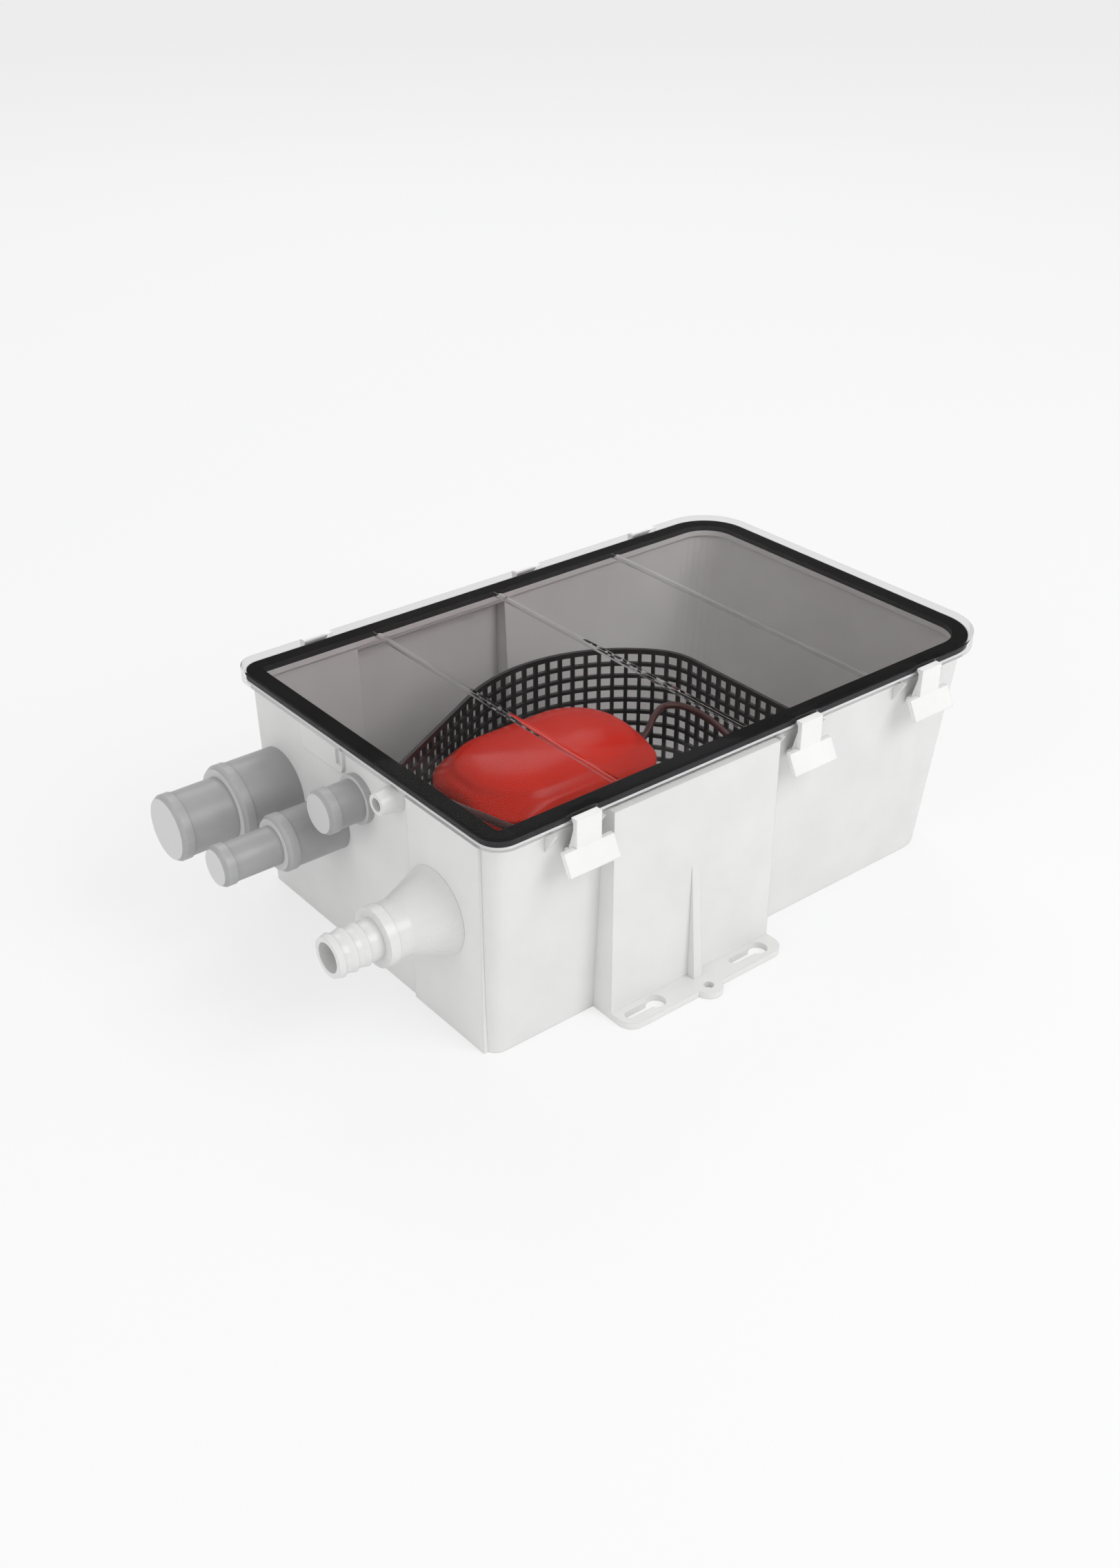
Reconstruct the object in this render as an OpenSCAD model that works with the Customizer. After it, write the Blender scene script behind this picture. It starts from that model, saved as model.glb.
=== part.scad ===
// Shower and bilge drain sump: a clear-lidded box with hose stubs, a bent strainer screen,
// a submersible pump with its float switch, and a discharge line with a flap valve.
// Origin at the centre of the underside, +X to the far end, the hose stubs point along -X.

/* [Sump box] */
// Length of the lid over its flange
lid_l = 300; // [292:1:330]
// Width of the lid over its flange
lid_w = 199; // [196:1:220]
// Height from the underside to the top of the lid
total_h = 113; // [112:1:120]
// Distance that the lid flange stands out past the box wall
overhang = 5; // [4.5:0.25:6]
// Wall of the box
wall = 3; // [2.5:0.25:3.5]
// Floor of the box
floor_t = 3; // [2.5:0.25:4]
// Inward lean of the far end wall at the base
end_draft = 12; // [8:1:14]
// Inward lean of each long wall at the base
side_draft = 5.5; // [4:0.5:6.5]
// Plan corner radius at the hose end
near_corner_r = 7; // [6:0.5:9]
// Plan corner radius at the far end
far_corner_r = 22; // [18:1:26]
// Width of the rim land under the seal
rim_w = 5; // [4.5:0.5:8]

/* [Lid] */
// Thickness of the clear plate
lid_t = 3; // [2.5:0.25:4]
// Depth of the flange skirt below the plate
skirt_h = 3.5; // [3:0.25:4]
// Squeezed thickness of the seal
seal_t = 2.7; // [2.4:0.1:3]
// Thickness of the three ribs under the plate
lid_rib_t = 1.6; // [1:0.2:3]
// Place of the left rib along the lid
left_rib_x = -78; // [-82:1:-74]
// Place of the middle rib along the lid
middle_rib_x = -6; // [-10:1:-2]
// Place of the right rib along the lid
right_rib_x = 71; // [67:1:75]

/* [Latches] */
// Distance from the foot panel to the left latch
left_latch_gap = 14.5; // [13:0.5:17]
// Distance from the foot panel to the middle latch
middle_latch_gap = 17.5; // [17:0.5:20]
// Place of the right latch along each long side
right_latch_x = 100; // [97:0.5:102]
// Width of the tongue
tongue_w = 13; // [12:0.5:14]
// Width of the finger lip
lip_w = 26; // [22:1:27]
// Radius of the latch pins
latch_pin_r = 1.25; // [1:0.05:1.4]

/* [Feet] */
// Middle of the feet along the box
foot_x = -43; // [-46:1:-40]
// Length of each foot and its panel
foot_l = 94; // [92:1:96]
// Distance from the middle plane to the panel face
panel_y = 101; // [100:0.5:102]
// Thickness of the foot plate
foot_t = 3; // [2.5:0.25:4]
// Radius of the round screw hole
foot_hole_r = 2.3; // [2:0.1:3]
// Radius of the keyhole heads
keyhole_r = 4.4; // [4:0.1:5]
// Half width of the keyhole slots
keyhole_slot_r = 2.2; // [1.8:0.1:2.6]

/* [Hose stubs] */
// Place of the large stub across the box
large_y = 70.4; // [69:0.1:71]
// Depth of the large stub below the top of the lid
large_below = 54.5; // [53:0.5:57]
// Radius over the wide step of the large stub
large_root_r = 20; // [19.5:0.25:20.5]
// Radius over the narrow step of the large stub
large_end_r = 15.75; // [15:0.25:16.5]
// Place of the middle stub across the box
medium_y = 26; // [25:0.5:28]
// Depth of the middle stub below the top of the lid
medium_below = 52; // [51:0.5:55]
// Radius over the wide step of the middle stub
medium_root_r = 13.3; // [13:0.1:13.8]
// Radius over the narrow step of the middle stub
medium_end_r = 9.6; // [9.3:0.1:10]
// Reach of the two long stubs past the end wall
long_reach = 60; // [56:1:66]
// Length of the wide step of the two long stubs
root_l = 31.3; // [29:0.1:33]
// Place of the small stub across the box
small_y = 3; // [2:0.5:4]
// Depth of the small stub below the top of the lid
small_below = 29; // [28:0.5:31]
// Reach of the small stub past the end wall
small_reach = 21; // [19:1:25]
// Radius over the small stub
small_end_r = 10.3; // [10:0.1:10.6]
// Radius of the foot of the small stub
small_root_r = 11.5; // [11.3:0.1:12]
// Wall of the stubs
stub_wall = 2.2; // [1.8:0.1:2.4]
// Height of the ridge that grips the hose
ridge_h = 0.6; // [0.4:0.1:1]

/* [Discharge] */
// Place of the outlet across the box
outlet_y = -53.5; // [-56:0.5:-52]
// Height of the outlet
outlet_z = 56.5; // [55:0.5:58]
// Reach of the outlet past the end wall
outlet_reach = 54.2; // [52:0.5:60]
// Radius over the outlet ridges
outlet_r = 9.75; // [9:0.25:10]
// Bore of the outlet
outlet_bore_r = 6.7; // [6:0.1:7]
// Outer radius of the hose tails inside the box
tail_r = 7.95; // [7.75:0.05:8.1]
// Thickness of the inner hose
hose_t = 2.8; // [2:0.2:3.4]

/* [Screen] */
// Depth of the screen rim below the top of the lid
screen_below = 26; // [23:1:31]
// Thickness of the screen sheet
screen_t = 1.8; // [1.4:0.1:2.2]
// Distance from the float to the straight front leg
screen_gap = 9.5; // [9:0.5:14]
// Large bend radius
screen_r = 82; // [80:1:84]
// Small bend radius
screen_turn_r = 28; // [26:1:30]

/* [Pump] */
// Middle of the pump along the box
pump_x = -51.5; // [-53:0.5:-50]
// Middle of the pump across the box
pump_y = -8; // [-9:0.5:-7.5]
// Length of the pump housing
pump_l = 100; // [98:1:102]
// Width of the pump housing
pump_w = 67; // [65:1:68]
// Plan corner radius of the pump housing
pump_corner_r = 20; // [18:1:22]
// Wall of the pump housing
pump_wall = 2.5; // [2:0.25:3]
// Height of the housing joint above the underside
pump_joint_z = 48; // [46:1:50]
// Height of the shoulder of the cap
cap_rim_z = 75; // [74:1:77]
// Rise of the domed top above the shoulder
dome_h = 10; // [8:0.5:11]
// Radius of the motor can
motor_r = 16.5; // [16:0.5:18]
// Radius of the motor shaft
shaft_r = 1.5; // [1.5:0.1:2]
// Radius of the impeller
impeller_r = 16; // [14:0.5:17]

/* [Hidden] */
$fn = 48;
hull_fn = 32;

overrun = 1;
skin = 0.01;
least_corner_r = 1.5;
running_gap = 0.05;
push_gap = 0.02;
seat_gap = 0.3;

box_x = lid_l / 2 - overhang;
box_y = lid_w / 2 - overhang;
box_h = total_h - lid_t - seal_t;
lid_under = total_h - lid_t;
near_x = -box_x;
near_face = near_x + wall;
skirt_gap = 0.3;
seal_inset = 0.2;
rim_h = 3;
rim_out = 2.7;
rim_lip_t = 1.1;

// Half width of the outer long walls and place of the far end wall at a height
function side_y(z) = box_y - side_draft * (1 - z / box_h);
function end_x(z) = box_x - end_draft * (1 - z / box_h);
// Half width of the inner long walls at a height
function side_in(z) = side_y(z) - wall;

lid_rib_x = [left_rib_x, middle_rib_x, right_rib_x];

// Latch sizes: distances from the middle plane and heights
latch_gap = 0.8;
flange_y = lid_w / 2;
tongue_in = flange_y + latch_gap;
tongue_t = 2.3;
tongue_out = tongue_in + tongue_t;
tongue_below = 2.7;
tongue_l = 22.3;
tongue_top = total_h - tongue_below;
tongue_low = tongue_top - tongue_l;
nose_reach = 1.1;
nose_drop = 2.5;
nose_lip = 0.9;
ledge_depth = 4.7;
ledge_z = total_h - ledge_depth;
notch_depth = 3;
notch_gap = 1.25;
notch_w = tongue_w + 2 * notch_gap;
lip_depth = 16;
lip_h = 9.5;
lip_top = total_h - lip_depth;
lip_low = lip_top - lip_h;
lip_edge = 1;
lip_flare = 4.4;
hinge_out = 2.8;
hinge_depth = 21;
hinge_y = box_y + hinge_out;
hinge_z = total_h - hinge_depth;
lug_w = 8;
lug_r = 2.4;
cheek_r = 2.9;
cheek_gap = 0.3;
cheek_t = 2;
cheek_h = 13.5;
cheek_top_t = 1.4;
guard_t = 2;
guard_out = 1;
guard_depth = 7.5;
guard_h = 10.5;
guard_left = 15;
guard_right = 9.5;
guard_y = flange_y + guard_out;
guard_top = total_h - guard_depth;
guard_low = guard_top - guard_h;
guard_places = [-guard_left, guard_right];

// Foot sizes
foot_x0 = foot_x - foot_l / 2;
foot_x1 = foot_x + foot_l / 2;
latch_x = [foot_x0 - left_latch_gap, foot_x1 + middle_latch_gap, right_latch_x];
foot_w = 12.5;
foot_y = panel_y + foot_w;
foot_end_r = 7;
lobe_r = 6.5;
panel_below = 2.3;
panel_top = box_h - panel_below;
foot_hole_in = 1;
foot_hole_y = foot_y - foot_hole_in;
keyhole_y = foot_y - foot_end_r;
keyhole_l = 15;
keyhole_inset = 11;
keyhole_left_inset = 21;
keyhole_x = [foot_x1 - keyhole_inset, foot_x0 + keyhole_left_inset];
gusset_t = 5;
gusset_h = 58;
gusset_reach = 4.5;

// Raised shapes on the hose end
band_t = 1.3;
band_w = 50;
band_aside = 6.5;
band_y = outlet_y - band_aside;
pad_t = 1.5;
pad_y = 30;
pad_w = 34;
pad_h = 16.3;
pad_low = box_h - pad_h;
pad_r = 4;
pad_slot_in = 1;
pad_slot_w = 4;
pad_slot_h = 8;

// Stubs: place across, height, reach, end radius, length of the root step, root radius
small_root_l = 3;
large_z = total_h - large_below;
medium_z = total_h - medium_below;
small_z = total_h - small_below;
stub_large = [large_y, large_z, long_reach, large_end_r, root_l, large_root_r];
stub_medium = [medium_y, medium_z, long_reach, medium_end_r, root_l, medium_root_r];
stub_small = [small_y, small_z, small_reach, small_end_r, small_root_l, small_root_r];
ridge_l = 4;
ridge_cone = 2;
face_step = 1.3;
spigot_step = 5;
small_spigot_step = 3;
spigot_l = wall;
nipple_y = -26;
nipple_below = 15;
nipple_z = total_h - nipple_below;
nipple_l = 10;
nipple_r = 4.9;
nipple_root_r = 6.5;
nipple_bore_r = 3;
nipple_spigot_r = 4;

// Discharge line
band_face = near_x - band_t;
cone_l = 19.2;
cone_root_r = 20.3;
cone_end_r = 12.8;
cone_wall = 3;
collar_at = 30;
collar_l = 5;
collar_r = 13.4;
barb_pitch = 6;
barb_count = 3;
barb_h = 0.8;
tail_spigot_r = 14.95;
tail_flange_r = 18;
tail_flange_t = 3;
tail_wall = 1.95;
tail_bore_r = tail_r - tail_wall;
tail_l = 19;
flap_r = 9;
flap_t = 1.6;
flap_gap = 0.3;
flap_pin_r = 0.8;
flap_knuckle_r = 1.4;
flap_ear_r = 1.8;
flap_hinge_up = 11;
flap_hinge_out = flap_knuckle_r + flap_gap;
flap_ear_w = 2;
flap_knuckle_w = 5;
hose_in_r = tail_r + running_gap;
hose_out_r = hose_in_r + hose_t;
hose_cover = 17;
bend_r = 10.5;
elbow_r = 9;
elbow_bore_r = 6;
elbow_tail_l = 14;
elbow_collar_l = 3.5;
clamp_t = 0.8;
clamp_w = 8;
clamp_inset = 5;
clamp_box_w = 9;
clamp_box_h = 5;

// Pump heights and places
axis_aside = 10.5;
axis_x = pump_x - axis_aside;
axis_y = pump_y;
base_h = 11;
base_top = floor_t + base_h;
base_plate_t = 3;
slot_w = 3;
slot_pitch = 8;
slot_up = 1.5;
slot_low = floor_t + base_plate_t + slot_up;
ear_r = 5.5;
ear_t = 3;
ear_hole_r = 2.2;
ear_out = 5;
ear_ahead = 21.5;
post_r = 4.5;
post_h = base_top - ear_t - floor_t;
screw_r = 1.55;
screw_head_r = 3.6;
screw_head_h = 2.4;
screw_l = 8.5;
chamber_gap = 4;
chamber_floor_t = 3;
chamber_r = impeller_r + chamber_gap;
chamber_floor = base_top + chamber_floor_t;
chamber_h = 13;
deck_z = chamber_floor + chamber_h;
deck_t = 3;
motor_z = deck_z + deck_t;
eye_r = 8;
nozzle_bore_r = elbow_bore_r;
nozzle_r = 8.5;
nozzle_z = chamber_floor + chamber_h / 2;
nozzle_out = 1;
nozzle_x = axis_x - chamber_r + nozzle_bore_r;
pump_front = pump_y - pump_w / 2;
pump_back = pump_y + pump_w / 2;
nozzle_end = pump_front - nozzle_out;
lip_up = 3;
lip_wall = 1.6;
groove_below = 6.5;
groove_z = cap_rim_z - groove_below;
groove_h = 1.2;
groove_d = 0.8;
dome_in = 21;
dome_steps = 6;
grommet_z = 62;
grommet_aside = 2;
grommet_y = pump_y - grommet_aside;
grommet_r = 3.4;
grommet_flange_r = 4.6;
grommet_flange_t = 1.5;
cap_x1 = pump_x + pump_l / 2;
cap_x0 = pump_x - pump_l / 2;

// Ears of the pump base, each over a post of the floor
side_ear_x = pump_x + ear_ahead;
ear_places = [[cap_x0 - ear_out, pump_y], [side_ear_x, pump_back + ear_out], [side_ear_x, pump_front - ear_out]];

// Motor
can_t = 1;
can_h = 41;
can_boss_r = 5;
can_boss_h = 3;
magnet_gap = 0.05;
magnet_t = 2.9;
magnet_up = 9;
magnet_z = motor_z + magnet_up;
magnet_h = 22;
magnet_angle = 130;
air_gap = 0.45;
core_up = 8;
core_z = motor_z + core_up;
core_h = 24;
core_slots = 5;
core_slot_w = 1.6;
core_slot_d = 6;
commutator_r = 4;
commutator_h = 5;
brush_w = 4;
brush_h = 3;
brush_gap = 0.1;
bush_r = 4;
shaft_up = 2;
shaft_sunk = 1;
shaft_hole_gap = 1;
shaft_low = chamber_floor + shaft_up;
shaft_top = motor_z + can_h + can_boss_h - shaft_sunk;
seal_ring_r = 4;
impeller_up = 1.5;
impeller_low = chamber_floor + impeller_up;
impeller_h = 10;
impeller_disc_t = 2;
impeller_hub_r = 3.5;
vane_count = 6;
vane_t = 1.6;
vane_start = 2.5;

// Float switch
bracket_gap = 5.5;
bracket_x0 = cap_x1 + bracket_gap;
bracket_l = 16;
bracket_x1 = bracket_x0 + bracket_l;
bracket_cheek_l = 12;
bracket_cheek_x = bracket_x0 + bracket_cheek_l;
float_hinge_in = 7;
float_hinge_x = bracket_x0 + float_hinge_in;
float_hinge_z = 28;
float_pin_r = 1.5;
float_eye_r = 3.5;
bracket_y0 = -30;
bracket_y1 = 12;
bracket_t = 3;
bracket_top = 46;
cheek_top_r = 5;
float_side_gap = 1;
float_in = 3.5;
float_l = 27.5;
float_x0 = float_hinge_x + float_in;
float_x1 = float_x0 + float_l;
float_low = 9;
float_top = 24;
float_corner_r = 5;
float_arm_w = 6;
float_pin_over = 1;

// Screen path
screen_x = float_x1 + screen_gap;
screen_top = total_h - screen_below;
screen_low = floor_t;
screen_turn_y = 5.6;
screen_turn_angle = 39.8;
screen_lead_angle = 117.7;
turn_c = [screen_x - screen_turn_r, screen_turn_y];
bend_c = turn_c - (screen_r - screen_turn_r) * [cos(screen_turn_angle), sin(screen_turn_angle)];
lead_end = bend_c + screen_r * [cos(screen_lead_angle), sin(screen_lead_angle)];
lead_turn = screen_lead_angle - 90;
lead_l = (lead_end[0] - near_face) / cos(lead_turn);
lead_clear = 1;
screen_steps = 24;
screen_step = 1;
screen_lap = 5;
groove_rib_t = 1.5;
groove_rib_l = 6;
groove_rib_gap = 1.5;

// Pump lead: radius, sides, steps between the points, and its route from the cap to the nipple
lead_r = 1.75;
lead_sides = 8;
lead_steps = 4;
lead_route = [[0, -10, 62], [9, -9, 66], [18, -5, 71], [27, -2, 72], [35, -6, 71], [38, -18, 70], [35, -38, 69],
    [26, -60, 69], [5, -75, 71], [-30, -80, 74], [-70, -81, 79], [-105, -74, 86], [-124, -52, 94],
    [-133, -31, 97], [-139, -26, 98], [-145, -26, 98], [-152, -26, 98]];

// Rounded plan with small corners at the hose end and large ones at the far end
module plan(x0, x1, y, near, far) {
    near_r = max(near, least_corner_r);
    far_r = max(far, least_corner_r);
    polygon([[x0 + near_r, -y], [x1 - far_r, -y], [x1, far_r - y], [x1, y - far_r],
        [x1 - far_r, y], [x0 + near_r, y], [x0, y - near_r], [x0, near_r - y]]);
    for (s = [-1, 1]) {
        translate([x0 + near_r, s * (y - near_r)]) circle(near_r);
        translate([x1 - far_r, s * (y - far_r)]) circle(far_r);
    }
}

// Box outline at the rim, grown or shrunk
module rim_plan(grow) {
    plan(near_x - grow, box_x + grow, box_y + grow, near_corner_r + grow, far_corner_r + grow);
}

// Leaning block between two heights, shrunk by an inset
module leaning_block(inset, z0, z1) {
    hull() for (z = [z0, z1 - skin])
        translate([0, 0, z]) linear_extrude(skin)
            plan(near_x + inset, end_x(z) - inset, side_y(z) - inset, near_corner_r - inset,
                far_corner_r - inset, $fn = hull_fn);
}

module rod_x(x0, x1, y, z, r) {
    translate([x0, y, z]) rotate([0, 90, 0]) cylinder(h = x1 - x0, r = r);
}

module rod_y(x, y0, y1, z, r) {
    translate([x, y0, z]) rotate([-90, 0, 0]) cylinder(h = y1 - y0, r = r);
}

// Turned shape about an axis that points out of the hose end: points are radius and reach
module turned(y, z, points) {
    translate([near_x, y, z]) rotate([0, -90, 0]) rotate_extrude() polygon(points);
}

// Flat shape in the Y and Z plane, thickened along X about a place
module cross_plate(x, thick) {
    translate([x - thick / 2, 0, 0]) rotate([90, 0, 90]) linear_extrude(thick) children();
}

// Both long sides: the children are drawn on the rear side and mirrored to the front
module both_sides() {
    children();
    mirror([0, 1, 0]) children();
}

module foot_panel() {
    translate([foot_x0, box_y - side_draft, 0]) cube([foot_l, panel_y - box_y + side_draft, panel_top]);
}

module foot_pocket() {
    translate([foot_x0 + wall, box_y - side_draft - wall - overrun, floor_t])
        cube([foot_l - 2 * wall, panel_y - box_y + side_draft + overrun, panel_top - floor_t - wall]);
}

module foot_plate() {
    difference() {
        linear_extrude(foot_t) union() {
            translate([foot_x0, box_y - side_draft]) square([foot_l, foot_y - box_y + side_draft - foot_end_r]);
            translate([foot_x0 + foot_end_r, panel_y]) square([foot_l - 2 * foot_end_r, foot_y - panel_y]);
            for (x = [foot_x0 + foot_end_r, foot_x1 - foot_end_r])
                translate([x, foot_y - foot_end_r]) circle(foot_end_r);
            translate([foot_x, foot_hole_y]) circle(lobe_r);
        }
        translate([0, 0, -overrun]) linear_extrude(foot_t + 2 * overrun) {
            translate([foot_x, foot_hole_y]) circle(foot_hole_r);
            for (x = keyhole_x) translate([x, keyhole_y]) {
                circle(keyhole_r);
                translate([-keyhole_l, -keyhole_slot_r]) square([keyhole_l, 2 * keyhole_slot_r]);
                translate([-keyhole_l, 0]) circle(keyhole_slot_r);
            }
        }
    }
}

module foot_gusset() {
    cross_plate(foot_x, gusset_t)
        polygon([[panel_y - overrun, foot_t - skin], [panel_y + gusset_reach, foot_t - skin],
            [panel_y, foot_t + gusset_h], [panel_y - overrun, foot_t + gusset_h]]);
}

// Triangular ribs that guard a latch, and the lug that carries its pin
module latch_carrier(x) {
    for (u = guard_places)
        cross_plate(x + u, guard_t)
            polygon([[side_in(guard_low) + wall / 2, guard_low], [side_y(guard_low), guard_low],
                [guard_y, guard_top], [side_in(guard_top) + wall / 2, guard_top]]);
    cross_plate(x, lug_w) difference() {
        union() {
            translate([hinge_y, hinge_z]) circle(lug_r);
            translate([side_in(hinge_z) + wall / 2, hinge_z - lug_r])
                square([hinge_y - side_in(hinge_z) - wall / 2, 2 * lug_r]);
        }
        translate([hinge_y, hinge_z]) circle(latch_pin_r + running_gap);
    }
}

// Pairs of ribs that hold the two ends of the screen
module screen_ribs() {
    rib_y = screen_t / 2 + seat_gap;
    near_rib_top = small_z - spigot_r(stub_small) - groove_rib_gap;
    translate([near_face, lead_end[1] - lead_l * sin(lead_turn), floor_t - skin]) rotate(lead_turn)
        for (y = [rib_y, -rib_y - groove_rib_t])
            translate([-wall / 2, y, 0]) cube([groove_rib_l + wall / 2, groove_rib_t, near_rib_top - floor_t]);
    for (x = [screen_x - rib_y - groove_rib_t / 2, screen_x + rib_y + groove_rib_t / 2])
        cross_plate(x, groove_rib_t)
            polygon([[groove_rib_l - side_in(floor_t), floor_t - skin], [-side_in(floor_t) - wall / 2, floor_t - skin],
                [-side_in(screen_top) - wall / 2, screen_top], [groove_rib_l - side_in(screen_top), screen_top]]);
}

module floor_posts() {
    for (p = ear_places) translate([p[0], p[1], floor_t - skin]) difference() {
        cylinder(h = post_h + skin, r = post_r);
        translate([0, 0, post_h + ear_t - screw_l - running_gap]) cylinder(h = screw_l, r = screw_r + running_gap);
    }
}

module end_pad() {
    translate([near_x - pad_t, 0, 0]) rotate([90, 0, 90]) linear_extrude(pad_t + wall / 2) difference() {
        union() {
            translate([pad_y - pad_w / 2, pad_low + pad_r]) square([pad_w, box_h - rim_h / 2 - pad_low - pad_r]);
            translate([pad_y - pad_w / 2 + pad_r, pad_low]) square([pad_w - 2 * pad_r, pad_r + skin]);
            for (s = [-1, 1]) translate([pad_y + s * (pad_w / 2 - pad_r), pad_low + pad_r]) circle(pad_r);
        }
        translate([pad_y - pad_w / 2 + pad_slot_in, pad_low + pad_r])
            square([pad_slot_w, pad_slot_h]);
    }
}

// Radius of the spigot with which each stub enters the wall
function spigot_r(stub) = stub[5] - (stub[4] > spigot_step ? spigot_step : small_spigot_step);

module sump_box() color("gainsboro") {
    difference() {
        union() {
            leaning_block(0, 0, box_h);
            both_sides() {
                foot_panel();
                foot_plate();
                foot_gusset();
            }
            end_pad();
            translate([band_face, band_y - band_w / 2, 0]) cube([band_t + wall / 2, band_w, box_h - rim_h]);
        }
        leaning_block(wall, floor_t, box_h + overrun);
        both_sides() foot_pocket();
        for (stub = [stub_large, stub_medium, stub_small])
            rod_x(near_x - pad_t - overrun, near_face + overrun, stub[0], stub[1], spigot_r(stub) + running_gap);
        rod_x(near_x - pad_t - overrun, near_face + overrun, nipple_y, nipple_z, nipple_spigot_r + running_gap);
        rod_x(band_face - overrun, near_face + overrun, outlet_y, outlet_z, tail_spigot_r + running_gap);
    }
    translate([0, 0, box_h - rim_h]) linear_extrude(rim_h) difference() {
        rim_plan(0);
        rim_plan(-rim_w);
    }
    translate([0, 0, box_h - rim_lip_t]) linear_extrude(rim_lip_t) difference() {
        rim_plan(rim_out);
        rim_plan(-rim_w);
    }
    both_sides() for (x = latch_x) latch_carrier(x);
    screen_ribs();
    floor_posts();
}

module clear_lid() color([0.75, 0.75, 0.78, 0.4]) {
    difference() {
        union() {
            translate([0, 0, lid_under]) linear_extrude(lid_t) rim_plan(overhang);
            translate([0, 0, lid_under - skirt_h]) linear_extrude(skirt_h + skin) difference() {
                rim_plan(overhang);
                rim_plan(rim_out + skirt_gap);
            }
        }
        both_sides() for (x = latch_x)
            translate([x - notch_w / 2, flange_y - notch_depth, ledge_z])
                cube([notch_w, notch_depth + overrun, total_h - ledge_z + overrun]);
    }
    rib_y = box_y - rim_w - seat_gap;
    for (x = lid_rib_x)
        translate([x - lid_rib_t / 2, -rib_y, lid_under - seal_t + seat_gap])
            cube([lid_rib_t, 2 * rib_y, seal_t - seat_gap + skin]);
}

module lid_seal() color([0.12, 0.12, 0.13]) {
    translate([0, 0, box_h]) linear_extrude(seal_t) difference() {
        rim_plan(rim_out - seal_inset);
        rim_plan(-rim_w);
    }
}

// One latch: a tongue over the flange, a finger lip and two cheeks on the pin
module latch(x) {
    cross_plate(x, tongue_w) polygon([[tongue_in, tongue_low], [tongue_in, tongue_top - nose_drop],
        [tongue_in - nose_reach, tongue_top - nose_lip], [tongue_in - nose_reach, tongue_top],
        [tongue_out, tongue_top], [tongue_out, tongue_low]]);
    cross_plate(x, lip_w) polygon([[tongue_in, lip_top], [tongue_out, lip_top],
        [tongue_out + lip_flare, lip_low + lip_edge], [tongue_out + lip_flare, lip_low],
        [tongue_in + lip_flare, lip_low]]);
    for (s = [-1, 1])
        cross_plate(x + s * (lug_w / 2 + cheek_gap + cheek_t / 2), cheek_t) difference() {
            union() {
                translate([hinge_y, hinge_z]) circle(cheek_r);
                polygon([[hinge_y, hinge_z + cheek_r], [tongue_in, hinge_z + cheek_h],
                    [tongue_in + cheek_top_t, hinge_z + cheek_h], [tongue_in + cheek_top_t, hinge_z - cheek_r],
                    [hinge_y, hinge_z - cheek_r]]);
            }
            translate([hinge_y, hinge_z]) circle(latch_pin_r + running_gap);
        }
}

module latch_rear(i) color("white") latch(latch_x[i]);
module latch_front(i) color("white") mirror([0, 1, 0]) latch(latch_x[i]);

module latch_pins() color("silver") {
    pin_l = lug_w + 2 * cheek_gap + 2 * cheek_t + push_gap;
    both_sides() for (x = latch_x) rod_x(x - pin_l / 2, x + pin_l / 2, hinge_y, hinge_z, latch_pin_r);
}

// Points along the middle line of an arc, and the same line moved sideways by an offset
function arc_line(centre, r, a0, a1) = [for (i = [0 : screen_steps]) let (a = a0 + (a1 - a0) * i / screen_steps)
    centre + r * [cos(a), sin(a)]];
function screen_side(off) = let (straight = [cos(lead_turn), sin(lead_turn)], aside = [-straight[1], straight[0]])
    concat([[screen_x + off, screen_turn_y - screen_lap]],
        arc_line(turn_c, screen_turn_r + off, 0, screen_turn_angle),
        arc_line(bend_c, screen_r + off, screen_turn_angle + screen_step, screen_lead_angle),
        [lead_end - (lead_l - lead_clear) * straight + off * aside]);

module strainer_screen() color([0.08, 0.08, 0.08]) {
    outer = screen_side(screen_t / 2);
    inner = screen_side(-screen_t / 2);
    translate([0, 0, screen_low]) linear_extrude(screen_top - screen_low)
        polygon(concat(outer, [for (i = [len(inner) - 1 : -1 : 0]) inner[i]]));
    cross_plate(screen_x, screen_t) polygon([[screen_turn_y, screen_low],
        [seat_gap - side_in(screen_low), screen_low], [seat_gap - side_in(screen_top), screen_top],
        [screen_turn_y, screen_top]]);
}

// Points of the ridge at the end of a step: radius over the ridge and reach of the step
function ridge(r, reach) = [[r - ridge_h, reach - ridge_l - ridge_cone], [r, reach - ridge_l - ridge_cone],
    [r, reach - ridge_cone], [r - face_step, reach]];

// Closed stub, hollow from the inside of the box
module stub(s) {
    root_in = spigot_r(s) - stub_wall;
    end_in = min(root_in, s[3] - ridge_h - stub_wall);
    root = s[4] > spigot_step
        ? concat([[s[5] - ridge_h, 0]], ridge(s[5], s[4])) : [[s[5], 0], [s[5], s[4]]];
    turned(s[0], s[1], concat([[spigot_r(s), -spigot_l], [spigot_r(s), 0]], root,
        [[s[3] - ridge_h, s[4]]], ridge(s[3], s[2]), [[0, s[2]], [0, s[2] - stub_wall],
        [end_in, s[2] - stub_wall], [end_in, s[4] - stub_wall], [root_in, s[4] - stub_wall],
        [root_in, -spigot_l]]));
}

module inlet_large() color("lightgray") stub(stub_large);
module inlet_medium() color("lightgray") stub(stub_medium);
module inlet_small() color("lightgray") stub(stub_small);

module cable_nipple() color("lightgray")
    turned(nipple_y, nipple_z, [[nipple_bore_r, -spigot_l], [nipple_spigot_r, -spigot_l], [nipple_spigot_r, 0],
        [nipple_root_r, 0], [nipple_r, nipple_l], [nipple_bore_r, nipple_l]]);

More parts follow.
